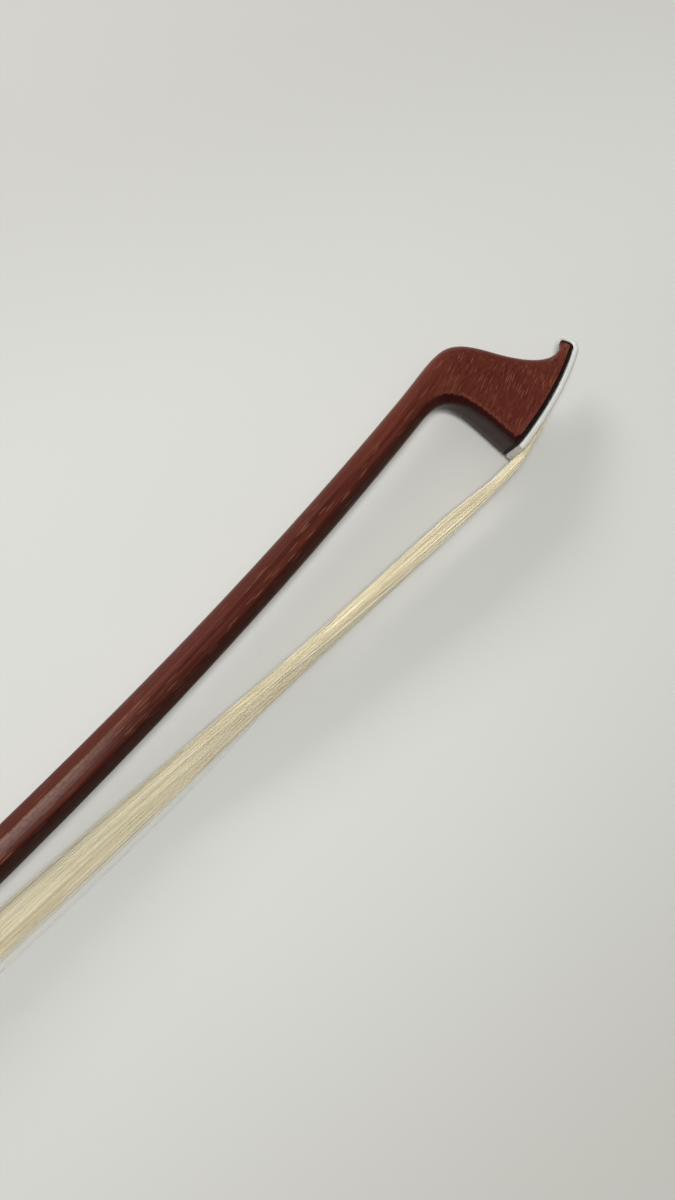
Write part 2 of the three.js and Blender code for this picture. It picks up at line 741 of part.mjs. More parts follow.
function buildFrogBody() {
  const blank = extrudeAcross(frogProfile(), frogWidth);
  const tongueSection = ferruleShape(ferruleWall + clearance);
  const tongue = extrudeAlong(tongueSection, -ferruleLength - overrun, ferruleLength + overrun);
  const channel = extrudeAlong(octagonSection(channelApothem), frogBackX - overrun, frogLength);
  const slotSection = dovetailSection(frogBottomY - clearance, slotY, -clearance);
  const slotTool = extrudeAlong(slotSection, slideBackX - clearance, slideFrontX + overrun - slideBackX);
  const half = frogMortiseWidth / 2;
  const gateHalf = hairWidthAtFrog / 2 + clearance;
  const mouthX = -wedgeLength - 2 * clearance;
  const frontGate = block(
    corner(-ferruleLength, frogBottomY - overrun, -gateHalf), corner(mouthX, channelY, gateHalf));
  const backGate = block(
    corner(-frogMortiseStart - hairThickness, slotY - clearance, -gateHalf),
    corner(mouthX, channelY, gateHalf));
  const wedgeGate = block(
    corner(-wedgeLength - overrun, frogBottomY - overrun, -frogWidth),
    corner(overrun, hairLevel + hairThickness / 2 + clearance + wedgeThickness + clearance, frogWidth));
  const mortise = block(
    corner(-frogMortiseStart - frogMortiseLength, frogBottomY - overrun, -half),
    corner(-frogMortiseStart, frogMortiseTopY, half));
  const eyeFloorZ = frogWidth / 2 - eyeInset - eyeDepth - clearance;
  const eyes = [1, -1].map((side) => eyeDisc(
    side, eyeRingWidth / 2 + clearance, frogWidth / 2 + overrun, eyeFloorZ));
  const shankLowY = frogTopY - eyeletShankLength - 2 * clearance;
  const shankBore = rod(shankLowY, frogAxisY, eyeletShankWidth / 2 + clearance, shankSides);
  const eyeletHole = upright(shankBore, -eyeletSetback, 0);
  const slidePinHoles = Object.values(pinPlaces).map((x) => upright(
    pinBore(frogAxisY - channelApothem - pinLength, frogAxisY), x, 0));
  const heelHoleBack = pinBore(heelBackX - overrun, heelBackX + pinLength).translate(0, heelPinY, 0);
  const heelHoleBottom = upright(
    pinBore(frogBottomY - overrun, frogBottomY + pinLength + clearance), heelPinX, 0);
  return cut(join(blank, [tongue]), [
    channel, slotTool, frontGate, backGate, wedgeGate, mortise, ...eyes, eyeletHole, ...slidePinHoles,
    heelHoleBack, heelHoleBottom]);
}

function buildUnderslide() {
  const metal = octagonSection(slideApothem + channelWall);
  const blank = extrudeAlong(metal, frogBackX + clearance, frogLength - thumbSetback - 2 * clearance);
  const space = extrudeAlong(octagonSection(slideApothem), frogBackX - overrun, frogLength + overrun);
  const above = block(
    corner(frogBackX - overrun, frogTopY, -frogWidth), corner(overrun, frogAxisY + frogWidth, frogWidth));
  const holes = [
    upright(
      rod(frogTopY - frogWidth, frogAxisY, eyeletShankWidth / 2 + clearance, shankSides), -eyeletSetback, 0),
    ...Object.values(pinPlaces).map((x) => upright(
      rod(frogTopY - frogWidth, frogAxisY, pinHeadWidth / 2 + clearance, pinSides), x, 0))];
  return cut(blank, [space, above, ...holes]);
}

// A small round-headed pin along X, its head at the start
function pin() {
  return turned([
    [0, 0], [0, pinHeadWidth / 2], [pinHeadLength, pinWidth / 2], [pinLength, pinWidth / 2],
    [pinLength + pinHeadLength, 0]], pinSides);
}

function plainPin() {
  return turned(
    [[0, 0], [0, pinWidth / 2], [pinLength - clearance, pinWidth / 2], [pinLength, 0]], pinSides);
}

function buildFerrule() {
  const shape = ferruleShape(0);
  shape.holes.push(new THREE.Path(ferruleShape(ferruleWall).getPoints(curveSteps)));
  return extrudeAlong(shape, -ferruleLength, ferruleLength);
}

function buildWedge() {
  const low = hairLevel + hairThickness / 2 + clearance;
  return block(
    corner(-wedgeLength, low, clearance - hairWidthAtFrog / 2),
    corner(0, low + wedgeThickness, hairWidthAtFrog / 2 - clearance));
}

function buildHeelPlate() {
  const width = frogWidth - 2 * heelPlateMargin;
  const inner = frogBottomY + heelPlateThickness;
  const shape = new THREE.Shape();
  const innerRound = backRound - heelPlateThickness;
  shape.moveTo(frogBackX + heelPlateLength - clearance, frogBottomY);
  shape.lineTo(frogBackX + backRound, frogBottomY);
  shape.quadraticCurveTo(frogBackX, frogBottomY, frogBackX, frogBottomY + backRound);
  shape.lineTo(frogBackX, frogBottomY + heelPlateHeight);
  shape.lineTo(frogBackX + heelPlateThickness, frogBottomY + heelPlateHeight);
  shape.lineTo(frogBackX + heelPlateThickness, inner + innerRound);
  shape.quadraticCurveTo(
    frogBackX + heelPlateThickness, inner, frogBackX + heelPlateThickness + innerRound, inner);
  shape.lineTo(frogBackX + heelPlateLength - clearance, inner);
  shape.closePath();
  const holeBack = pinBore(frogBackX - overrun, heelBackX).translate(0, heelPinY, 0);
  const holeBottom = upright(pinBore(frogBottomY - overrun, inner + clearance), heelPinX, 0);
  return cut(extrudeAcross(shape, width), [holeBack, holeBottom]);
}

// Eyelet: a brass post with its eye round the screw
function buildEyelet() {
  const top = frogAxisY + eyeletWidth / 2;
  const foot = frogTopY - eyeletShankLength - clearance;
  const shoulder = frogAxisY - buttApothem + clearance;
  const post = upright(turned([
    [foot, 0], [foot, eyeletShankWidth / 2], [shoulder, eyeletShankWidth / 2], [shoulder, eyeletWidth / 2],
    [top, eyeletWidth / 2], [top, 0]], roundSides), -eyeletSetback, 0);
  const eye = rod(-eyeletSetback - eyeletWidth, -eyeletSetback + eyeletWidth, screwWidth / 2 + clearance)
    .translate(0, frogAxisY, 0);
  return cut(post, [eye]);
}

// Screw, placed from the butt of the stick: x is positive into the stick
const screwTailX = -clearance - buttonRingLength - buttonCoreLength;
const threadStart = slotBackX - threadRunOut - buttX;
const threadEnd = slotFrontX - slotMargin - buttX;

function threadGeometry(startX, endX) {
  const root = screwWidth / 2 - threadDepth;
  const crest = screwWidth / 2;
  const rows = 2 * Math.ceil((endX - startX) / threadPitch) + 2;
  const positions = [];
  const index = [];
  const rowX = (row, k) => startX + threadPitch * (row - 2 + 2 * k / screwSides) / 2;
  for (let row = 0; row <= rows + 2; row += 1) {
    for (let k = 0; k < screwSides; k += 1) {
      const free = rowX(row, k);
      const x = THREE.MathUtils.clamp(free, startX, endX);
      const radius = row % 2 === 1 && x === free ? crest : root;
      const angle = 2 * Math.PI * k / screwSides;
      positions.push(x, radius * Math.cos(angle), radius * Math.sin(angle));
    }
  }
  const at = (row, k) => (k < screwSides ? row * screwSides + k : (row + 2) * screwSides);
  for (let row = 0; row < rows; row += 1) {
    for (let k = 0; k < screwSides; k += 1) {
      index.push(at(row, k), at(row + 1, k), at(row, k + 1));
      index.push(at(row, k + 1), at(row + 1, k), at(row + 1, k + 1));
    }
  }
  return { positions, index };
}

// The threaded stretch closed by flat ends, so that it joins the plain shank
function threadedRod(startX, endX) {
  const { positions, index } = threadGeometry(startX, endX);
  const centre = positions.length / 3;
  positions.push(startX, 0, 0, endX, 0, 0);
  const root = screwWidth / 2 - threadDepth;
  const ring = (x) => Array.from({ length: screwSides }, (_, k) => {
    const angle = 2 * Math.PI * k / screwSides;
    return [x, root * Math.cos(angle), root * Math.sin(angle)];
  });
  const first = centre + 2;
  for (const point of [...ring(startX), ...ring(endX)]) positions.push(...point);
  for (let k = 0; k < screwSides; k += 1) {
    const next = (k + 1) % screwSides;
    index.push(centre, first + k, first + next);
    index.push(centre + 1, first + screwSides + next, first + screwSides + k);
  }
  const geometry = new THREE.BufferGeometry();
  geometry.setAttribute('position', new THREE.Float32BufferAttribute(positions, 3));
  geometry.setIndex(index);
  const merged = mergeVertices(geometry);
  const kept = [];
  const triangles = merged.index.array;
  for (let i = 0; i < triangles.length; i += 3) {
    const [a, b, c] = [triangles[i], triangles[i + 1], triangles[i + 2]];
    if (a !== b && b !== c && a !== c) kept.push(a, b, c);
  }
  merged.setIndex(kept);
  return facingOut(merged);
}

function buildScrew() {
  const thread = threadedRod(threadStart, threadEnd);
  const radius = screwWidth / 2;
  const shank = turned([
    [screwTailX, 0], [screwTailX, radius], [threadStart - radius, radius],
    [threadStart + edgeBreak, radius - threadDepth], [threadStart + edgeBreak, 0]], roundSides);
  const tipRadius = screwTipWidth / 2;
  const tipEnd = screwTipX - buttX;
  const tip = turned([
    [threadEnd - edgeBreak, 0], [threadEnd - edgeBreak, radius - threadDepth - edgeBreak],
    [threadEnd + edgeBreak, tipRadius], [tipEnd - tipRadius, tipRadius], [tipEnd, tipRadius / 2], [tipEnd, 0]],
  roundSides);
  return join(thread, [shank, tip]);
}

// Button: an octagonal ebony core with a metal ring at each end and a pearl in its back
const octagonStart = Math.PI / 8;
const buttonFrontX = -clearance;
const coreFrontX = buttonFrontX - buttonRingLength;
const coreBackX = coreFrontX - buttonCoreLength;
const buttonBackX = coreBackX - buttonRingLength;
const tenonRadius = buttonTenonWidth / 2;
const boreRadius = (screwWidth / 2 + clearance) * cornerShare;
const nippleBore = (nippleWidth / 2 + clearance) * cornerShare;
const pearlSeatX = buttonBackX + buttonPearlThickness + clearance;

function buildButtonCore() {
  const front = buttonWidth / 2 * cornerShare;
  const back = buttonBackWidth / 2 * cornerShare;
  const frontTenonX = coreFrontX + buttonRingLength - nippleLength - 2 * clearance;
  return turned([
    [coreBackX, boreRadius], [coreBackX - buttonRingLength / 2, boreRadius],
    [coreBackX - buttonRingLength / 2, tenonRadius], [coreBackX, tenonRadius], [coreBackX, back],
    [coreFrontX, front], [coreFrontX, tenonRadius], [frontTenonX, tenonRadius],
    [frontTenonX, boreRadius], [coreBackX, boreRadius]], octagonSides, octagonStart);
}

function buttonRing(frontX, backX, frontWidth, backWidth, bore) {
  const front = frontWidth / 2 * cornerShare;
  const back = backWidth / 2 * cornerShare;
  return turned([
    [backX, bore], [backX, back - ringBevel], [backX + ringBevel, back], [frontX - ringBevel, front],
    [frontX, front - ringBevel], [frontX, bore], [backX, bore]], octagonSides, octagonStart);
}

function buildBackRing() {
  const seat = buttonPearlWidth / 2 + clearance * cornerShare;
  const front = buttonBackWidth / 2 * cornerShare;
  const bore = tenonRadius + clearance * cornerShare;
  const floorX = coreBackX - buttonRingLength / 2 - clearance;
  return turned([
    [buttonBackX, seat], [buttonBackX, front - ringBevel], [buttonBackX + ringBevel, front],
    [coreBackX - clearance, front], [coreBackX - clearance, bore], [floorX, bore],
    [floorX, boreRadius], [pearlSeatX, boreRadius], [pearlSeatX, seat], [buttonBackX, seat]],
  octagonSides, octagonStart);
}

// Grip pieces are tubes that follow the stick
function gripRings(fromX, toX, steps, apothemAt) {
  const rings = [];
  for (let i = 0; i <= steps; i += 1) {
    const x = mix(fromX, toX, i / steps);
    rings.push(octagonRing(x, stickApothemAt(x) + apothemAt(x)));
  }
  return rings;
}

function buildLeather(fromX, toX) {
  const full = clearance + leatherThickness;
  const skived = (x) => {
    const edge = Math.min(x - fromX, toX - x) / leatherSkive;
    return mix(clearance + leatherThickness / 2, full, THREE.MathUtils.clamp(edge, 0, 1));
  };
  const steps = Math.round(leatherLength / leatherSkive);
  return tubeLoft(gripRings(fromX, toX, steps, skived), gripRings(fromX, toX, steps, () => clearance));
}

function buildWinding(fromX, toX) {
  return tubeLoft(
    gripRings(fromX, toX, windingSteps, () => clearance + windingThickness),
    gripRings(fromX, toX, windingSteps, () => clearance));
}

// Assembly
addPiece(bow, 'stick', buildStick(), 'pernambuco');
addPiece(headGroup, 'head_liner', soleStrip(clearance, heelRise), 'blackLiner');
addPiece(headGroup, 'head_plate', soleStrip(heelRise + clearance, stackDepth), 'whitePlate');
addPiece(headGroup, 'head_plug', buildHeadPlug(), 'plugWood');
const headKnot = knot(headKnotRadius, headMortiseWidth - 2 * clearance);
addPiece(headGroup, 'head_hair_knot', sideways(headKnot, headKnotX, headKnotY), 'thread');
addPiece(bow, 'hair_ribbon', buildHair(), 'hair');

addPiece(frogGroup, 'frog_body', buildFrogBody(), 'ebony');
addPiece(frogGroup, 'frog_underslide', buildUnderslide(), 'silver');
for (const [place, x] of Object.entries(pinPlaces)) {
  const level = frogAxisY - slideApothem - clearance;
  addPiece(frogGroup, `underslide_pin_${place}`, pin().rotateZ(-Math.PI / 2).translate(x, level, 0), 'brass');
}
addPiece(frogGroup, 'heel_plate', buildHeelPlate(), 'silver');
addPiece(frogGroup, 'heel_pin_back', plainPin().translate(frogBackX, heelPinY, 0), 'silver');
const bottomPin = upright(plainPin().translate(frogBottomY, 0, 0), heelPinX, 0);
addPiece(frogGroup, 'heel_pin_bottom', bottomPin, 'silver');
addPiece(frogGroup, 'ferrule', buildFerrule(), 'silver');
addPiece(frogGroup, 'spread_wedge', buildWedge(), 'plugWood');
const pearlTopY = frogBottomY + pearlThickness;
const slideLength = slideFrontX - slideBackX;
addPiece(frogGroup, 'pearl_slide', block(
  corner(slideBackX, frogBottomY, -slideWidth / 2),
  corner(slideFrontX, pearlTopY, slideWidth / 2)), 'pearl');
addPiece(frogGroup, 'slide_backing', extrudeAlong(
  dovetailSection(pearlTopY + clearance, pearlTopY + clearance + slideThickness, clearance),
  slideBackX, slideLength), 'ebony');
const frogKnotRadius = frogKnotWidth / 2;
const frogKnotX = -frogMortiseStart - clearance - frogKnotRadius;
const frogKnot = knot(frogKnotRadius, frogMortiseWidth - 2 * clearance);
addPiece(frogGroup, 'frog_hair_knot', sideways(frogKnot, frogKnotX, frogKnotY), 'thread');
const frogPlugHalf = frogMortiseWidth / 2 - clearance;
const frogPlugLowY = slotY + clearance;
addPiece(frogGroup, 'frog_plug', block(
  corner(-frogMortiseStart - frogMortiseLength + clearance, frogPlugLowY, -frogPlugHalf),
  corner(-frogMortiseStart - 3 * hairThickness, frogPlugLowY + frogPlugHeight, frogPlugHalf)), 'plugWood');
for (const [place, side] of [['upper', 1], ['lower', -1]]) {
  const face = frogWidth / 2 - eyeInset;
  const ringBore = eyeRingWidth / 2 - eyeRingWall;
  const ring = cut(eyeDisc(side, eyeRingWidth / 2, face, face - eyeDepth),
    [eyeDisc(side, ringBore, face + overrun, face - eyeDepth - overrun)]);
  addPiece(frogGroup, `eye_ring_${place}`, ring, 'silver');
  const pearl = eyeDisc(side, ringBore - clearance, face, face - eyeDepth);
  addPiece(frogGroup, `eye_pearl_${place}`, pearl, 'pearl');
}
addPiece(frogGroup, 'eyelet', buildEyelet(), 'brass');

addPiece(adjusterGroup, 'adjuster_screw', buildScrew(), 'steel');
addPiece(adjusterGroup, 'button_core', buildButtonCore(), 'ebony');
const frontRing = buttonRing(
  buttonFrontX, coreFrontX + clearance, buttonWidth, buttonWidth, tenonRadius + clearance);
addPiece(adjusterGroup, 'button_ring_front', frontRing, 'silver');
addPiece(adjusterGroup, 'button_ring_back', buildBackRing(), 'silver');
addPiece(adjusterGroup, 'button_pearl', rod(
  buttonBackX, buttonBackX + buttonPearlThickness, buttonPearlWidth / 2, discSides), 'pearl');

const leatherBackX = ferruleX - thumbSetback + gripGap;
const leatherFrontX = leatherBackX + leatherLength;
const windingBackX = leatherFrontX + clearance;
addPiece(bow, 'thumb_leather', buildLeather(leatherBackX, leatherFrontX), 'leather');
addPiece(bow, 'wire_winding', buildWinding(windingBackX, windingBackX + windingLength), 'silver');

// The frame's origin is under the middle of the whole bow, on the surface that it lies on
bow.updateMatrixWorld(true);
const reach = new THREE.Box3().setFromObject(bow, true);
const middle = reach.getCenter(corner(0, 0, 0));
bow.position.set(-middle.x, -middle.y, -reach.min.z);

export default bow;
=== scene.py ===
import math
import random

import bmesh
import bpy
from mathutils import Matrix, Vector
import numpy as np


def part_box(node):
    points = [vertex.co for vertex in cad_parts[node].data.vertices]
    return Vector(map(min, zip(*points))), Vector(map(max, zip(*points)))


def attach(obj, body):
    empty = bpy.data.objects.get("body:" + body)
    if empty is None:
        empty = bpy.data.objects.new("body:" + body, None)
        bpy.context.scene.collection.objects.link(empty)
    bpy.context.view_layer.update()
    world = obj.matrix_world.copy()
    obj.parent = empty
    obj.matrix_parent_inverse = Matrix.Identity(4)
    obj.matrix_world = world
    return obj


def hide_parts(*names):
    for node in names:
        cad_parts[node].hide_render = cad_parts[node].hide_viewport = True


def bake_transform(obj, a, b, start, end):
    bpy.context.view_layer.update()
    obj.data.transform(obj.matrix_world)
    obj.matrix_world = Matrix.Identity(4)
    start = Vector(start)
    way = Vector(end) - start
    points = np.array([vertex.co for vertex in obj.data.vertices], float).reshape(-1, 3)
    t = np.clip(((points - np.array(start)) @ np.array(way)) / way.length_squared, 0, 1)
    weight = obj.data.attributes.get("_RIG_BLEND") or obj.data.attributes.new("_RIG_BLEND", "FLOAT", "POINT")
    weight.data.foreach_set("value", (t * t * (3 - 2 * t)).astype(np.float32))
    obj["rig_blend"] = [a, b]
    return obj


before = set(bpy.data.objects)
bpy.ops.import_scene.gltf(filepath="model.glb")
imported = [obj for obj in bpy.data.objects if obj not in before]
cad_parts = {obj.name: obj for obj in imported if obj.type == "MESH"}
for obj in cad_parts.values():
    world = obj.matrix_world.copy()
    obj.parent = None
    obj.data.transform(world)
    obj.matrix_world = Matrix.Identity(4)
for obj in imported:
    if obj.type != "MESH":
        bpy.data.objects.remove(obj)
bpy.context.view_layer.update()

bpy.context.scene.view_settings.view_transform = "Standard"


# Camera: held about 20 cm over the stick behind the head, looking down and a little towards
# the head, turned so that the bow runs from the lower left to the upper right.
camera_place = (0.21174, -0.00175, 0.20734)
right, down, forward = (Vector(row) for row in (
    (0.72334, -0.65634, 0.21445), (-0.64005, -0.75387, -0.14838), (0.25906, -0.02993, -0.9654)))
lens = bpy.data.cameras.new("bow_camera")
lens.lens, lens.sensor_width = 27.61, 36
lens.clip_start, lens.clip_end = 0.005, 20
camera = bpy.data.objects.new("bow_camera", lens)
camera.matrix_world = Matrix.Translation(camera_place) @ Matrix(
    (right, -down, -forward)).transposed().to_4x4()
bpy.context.scene.collection.objects.link(camera)
bpy.context.scene.camera = camera


# Floor: the plain pale sheet that the bow lies on, faintly clouded, with painted shade a little
# darker to both sides of the bow, and with a few specks. Far away it fades into the plain backdrop.
def seen(red, green, blue):
    """A colour as it looks on a screen, each part 0 to 255."""
    parts = [c / 255 for c in (red, green, blue)]
    return (*(c / 12.92 if c < 0.0405 else ((c + 0.055) / 1.055) ** 2.4 for c in parts), 1)


def feed(tree, value, socket):
    """Joins a node's output to a socket, or sets a plain number, colour or place there."""
    if isinstance(value, bpy.types.NodeSocket):
        tree.links.new(value, socket)
    else:
        socket.default_value = value


def put(tree, kind, options=None, **sockets):
    """Adds a node with its options and what goes into its sockets."""
    node = tree.nodes.new("ShaderNode" + kind)
    for name, value in (options or {}).items():
        setattr(node, name, value)
    for name, value in sockets.items():
        feed(tree, value, node.inputs[name.replace("_", " ")])
    return node


def worked_out(tree, kind, operation, *values):
    """The outputs of one step of arithmetic, on numbers (Math) or on places (VectorMath)."""
    node = put(tree, kind, {"operation": operation})
    for socket, value in zip(node.inputs, values):
        feed(tree, value, socket)
    return node.outputs


def product(tree, so_far, *others):
    for value in others:
        so_far = worked_out(tree, "Math", "MULTIPLY", so_far, value)[0]
    return so_far


def tinted(tree, share, low, high):
    """A colour between two, by a share that changes over the surface."""
    node = put(tree, "Mix", {"data_type": "RGBA"})
    for number, value in ((0, share), (6, low), (7, high)):
        feed(tree, value, node.inputs[number])
    return node.outputs[2]


def ramp(tree, value, start, end, low=0.0, high=1.0):
    """A value carried from one range into another, with soft ends."""
    return put(tree, "MapRange", {"interpolation_type": "SMOOTHSTEP"}, Value=value, From_Min=start,
               From_Max=end, To_Min=low, To_Max=high).outputs["Result"]


def new_finish(name, **sockets):
    """A finish and its shader, with the values that are the same all over."""
    finish = bpy.data.materials.new(name)
    finish.use_nodes = True
    shader = finish.node_tree.nodes["Principled BSDF"]
    for socket, value in sockets.items():
        shader.inputs[socket.replace("_", " ")].default_value = value
    return finish, finish.node_tree, shader


def scaled(tree, place, *factors):
    return worked_out(tree, "VectorMath", "MULTIPLY", place, factors)[0]


def on_object(tree):
    """The place on a piece in millimetres."""
    return scaled(tree, put(tree, "TexCoord").outputs["Object"], 1000, 1000, 1000)


def noise(tree, place, scale, detail=2.0, roughness=0.5, distortion=0.0):
    return put(tree, "TexNoise", Vector=place, Scale=scale, Detail=detail, Roughness=roughness,
               Distortion=distortion).outputs["Fac"]


floor_finish, tree, shader = new_finish("pale_sheet", Roughness=0.62, Emission_Color=seen(213, 213, 208))
place = on_object(tree)
clouds = noise(tree, place, 0.006, 3)
hairwards = worked_out(tree, "VectorMath", "DOT_PRODUCT", place, (-0.25, -0.97, 0))["Value"]
cells = put(tree, "TexVoronoi", Vector=place, Scale=0.028).outputs
few = ramp(tree, put(tree, "SeparateColor", Color=cells["Color"]).outputs[0], 0.78, 0.8)
small = ramp(tree, cells["Distance"], 0.006, 0.014, 1, 0)
colour = tinted(tree, ramp(tree, clouds, 0.3, 0.7), seen(216, 216, 211), seen(219, 219, 214))
# Painted shade: the sheet darker towards the hair's side and far past the stick's side
colour = tinted(tree, ramp(tree, hairwards, -25, 100), colour, seen(200, 199, 192))
colour = tinted(tree, ramp(tree, hairwards, -195, -110, 1, 0), colour, seen(206, 205, 200))
colour = tinted(tree, product(tree, few, small), colour, seen(120, 112, 100))
distance = worked_out(tree, "VectorMath", "LENGTH", scaled(tree, place, 0.6, 1, 1))["Value"]
far = product(tree, ramp(tree, distance, 270, 560), put(tree, "LightPath").outputs["Is Camera Ray"])
tree.links.new(tinted(tree, far, colour, (0, 0, 0, 1)), shader.inputs["Base Color"])
tree.links.new(far, shader.inputs["Emission Strength"])
bm = bmesh.new()
bmesh.ops.create_grid(bm, x_segments=2, y_segments=2, size=3.0)
floor_mesh = bpy.data.meshes.new("floor")
bm.to_mesh(floor_mesh)
bm.free()
floor_mesh.materials.append(floor_finish)
floor = bpy.data.objects.new("floor", floor_mesh)
bpy.context.scene.collection.objects.link(floor)


# Light: a lamp high over the bow, whose short shadows lie close beside it, and a window low on
# the stick's side, whose soft shadows fall past the hair. The room that shines in the varnish
# and metal is dim, with a paler window and one bright patch high up beyond the butt.
lit_place = Vector((0.24, 0, 0))


def soft_lamp(name, place, width, height, watts):
    lamp = bpy.data.lights.new(name, "AREA")
    lamp.shape, lamp.size, lamp.size_y, lamp.energy = "RECTANGLE", width, height, watts
    holder = bpy.data.objects.new(name, lamp)
    holder.location = place
    holder.rotation_euler = (lit_place - holder.location).to_track_quat("-Z", "Y").to_euler()
    holder.visible_glossy = False
    bpy.context.scene.collection.objects.link(holder)


soft_lamp("window", (0.44, 1.08, 0.42), 0.70, 0.26, 8.0)
soft_lamp("overhead", (-0.20, 0.07, 1.42), 0.36, 0.36, 14.4)
world = bpy.data.worlds.new("room")
world.use_nodes = True
bpy.context.scene.world = world
tree = world.node_tree
path = put(tree, "LightPath").outputs
towards = put(tree, "TexCoord").outputs["Generated"]
split = put(tree, "SeparateXYZ", Vector=towards).outputs
sides = tinted(tree, ramp(tree, split["Y"], -0.5, 0.8), (0.09, 0.09, 0.09, 1), (0.26, 0.26, 0.255, 1))
room = tinted(tree, ramp(tree, split["Z"], 0.8, 0.95), sides, (0.35, 0.35, 0.345, 1))
shine = tinted(tree, ramp(tree, split["Y"], -0.2, 0.9), (0.08, 0.08, 0.08, 1), (0.16, 0.16, 0.155, 1))
window, patch = (-0.05, 0.95, 0.31), (-0.34, 0.42, 0.84)
for direction, rim, core, level in ((window, 0.955, 0.99, 1.0), (patch, 0.9, 0.98, 3.6)):
    cosine = worked_out(tree, "VectorMath", "DOT_PRODUCT", towards, Vector(direction).normalized())
    shine = tinted(tree, ramp(tree, cosine["Value"], rim, core), shine, (level, level, level, 1))
room = tinted(tree, path["Is Glossy Ray"], room, shine)
direct = worked_out(tree, "Math", "MAXIMUM", path["Is Camera Ray"], path["Is Transmission Ray"])[0]
tree.links.new(tinted(tree, direct, room, seen(218, 218, 213)), tree.nodes["Background"].inputs["Color"])


# Stick: one length of pernambuco, planed to eight sides, bent over heat and swelling into a
# carved head, with a dark satin varnish. The head is mortised for the hair, the butt slotted
# for the eyelet and bored for the screw. Sizes are in millimetres from the heel of the head.
bow_shift = (322.433, -9.150, 7.25)
butt_x, straight_end_x, low_x, root_x = -662.0, -560.0, -230.0, -13.0
frog_axis_y, low_y, butt_width, head_width = 21.9, 5.3, 10.4, 7.2
head_long, head_high, head_slope = 32.0, 29.6, 0.19
head_axis_y = 0.868 * head_high
heel, heel_wide, tip_wide, nose_top_half = Vector((0.192, 1.3)), 9.7, 3.2, 0.62
throat_chamfer, chamfer_run, sole_edge = 1.6, 1.9, 0.15
flat_share = math.tan(math.pi / 8)
mortise = (11, -8, -2.4), (17.5, 9.6, 2.4)
eyelet_slot = (-636.1, 13.5, -2.8), (-622.9, 25.3, 2.8)
screw_bore, screw_end_bore = (-668, -623, 1.9), (-636, -612.5, 1.6)
grain_turn, grain_bend = 0.21, 12


def on_bow(x, y, z=0.0):
    """A place given in the stick's millimetres, in the frame's metres."""
    return Vector([value + shift for value, shift in zip((x, y, z), bow_shift)]) / 1000


def mix(low, high, share):
    return low + (high - low) * share


def held(value, low=0.0, high=1.0):
    return min(max(value, low), high)


def ease(share):
    share = held(share)
    return share * share * (3 - 2 * share)


def camber(low, high, end_slope, span, share):
    """A height on a bend that starts level and ends with a slope."""
    return (low + (high - low) * share ** 2 * (3 - 2 * share)
            + end_slope * span * share ** 2 * (share - 1))


def axis_y(x):
    """How high the stick's axis runs, straight over the frog and then cambered."""
    if x <= straight_end_x:
        return frog_axis_y
    if x <= low_x:
        return camber(frog_axis_y, low_y, 0, low_x - straight_end_x,
                      (x - straight_end_x) / (low_x - straight_end_x))
    return camber(low_y, head_axis_y, head_slope, -low_x, (x - low_x) / -low_x)


def stick_half(x):
    """Half the width over the flats, even over the frog and then tapering."""
    return mix(butt_width, head_width, (1 - held(x / straight_end_x)) ** 2) / 2


def stick_line(x):
    """A place on the stick's axis, the direction there and the way across to the top."""
    along = Vector((0.6, axis_y(x + 0.3) - axis_y(x - 0.3))).normalized()
    return Vector((x, axis_y(x))), along, Vector((-along.y, along.x))


def section(under, top, stations):
    """A ring from the under side to the top, one cheek and then the other."""
    up = (top - under).normalized()
    side = [(under + up * rise, half) for rise, half in stations]
    return [on_bow(*p, half) for p, half in side] + [on_bow(*p, -half) for p, half in side[::-1]]


def eight_sides(x):
    centre, _, across = stick_line(x)
    half = stick_half(x)
    flat = flat_share * half
    return section(centre - across * half, centre + across * half, [
        (0, flat), (half - flat, half), (half, half), (half + flat, half), (2 * half, flat)])


def drawn(points, share):
    """The place and direction at a share of a drawn curve."""
    row = [Vector(p) for p in points]
    while len(row) > 2:
        row = [a.lerp(b, share) for a, b in zip(row, row[1:])]
    return row[0].lerp(row[1], share), (row[1] - row[0]).normalized()


def on_curves(curves, place):
    """The place and direction at a number that counts along joined curves."""
    piece = min(int(place), len(curves) - 1)
    return drawn(curves[piece], place - piece)


def on_head(*shares):
    return [Vector((along * head_long, up * head_high)) for along, up in shares]


# Below: the throat to the heel, the sole, and the tip. Above: the crown, the slope of the back,
# the hollow behind the nose, and the nose.
root, root_along, root_across = stick_line(root_x)
root_half = stick_half(root_x)
root_under, root_top = root - root_across * root_half, root + root_across * root_half
sole_front = on_head((0.932, 0.335))[0]
lower_curves = [
    [root_under, root_under + root_along * 9.8, *on_head((-0.05, 0.49)), heel],
    [heel, *on_head((0.541, 0.1334)), sole_front],
    [sole_front, *on_head((0.964, 0.344), (0.974, 0.364), (0.939, 0.4205))]]
upper_curves = [
    [root_top, root_top + root_along * 8, *on_head((-0.056, 1), (0.069, 1))],
    on_head((0.069, 1), (0.225, 1), (0.319, 0.875), (0.447, 0.689)),
    on_head((0.447, 0.689), (0.55, 0.547), (0.70, 0.373), (0.841, 0.376)),
    on_head((0.841, 0.376), (0.882, 0.377), (0.914, 0.386), (0.932, 0.4205))]
# Numbers along the lower and upper curves that one section joins
section_pairs = [
    (0, 0), (0.25, 0.5), (0.5, 1), (0.72, 1.35), (0.88, 1.62), (1, 1.8), (1.07, 1.86), (1.3, 2.1),
    (1.55, 2.45), (1.8, 2.8), (2, 3.1), (2.3, 3.4), (2.65, 3.75), (3, 4)]
# The upper edge at the ends of the upper curves, in shares of the root's half width: the
# cheek's half width, the depth of the bevel and the half width of the flat on top
ridges = [(1, 1 - flat_share, flat_share), (0.95, 0.62, 0.3), (0.62, 0.45, 0.14), (0.44, 0.3, 0.12),
          (0.2, 0.03, 0.14)]


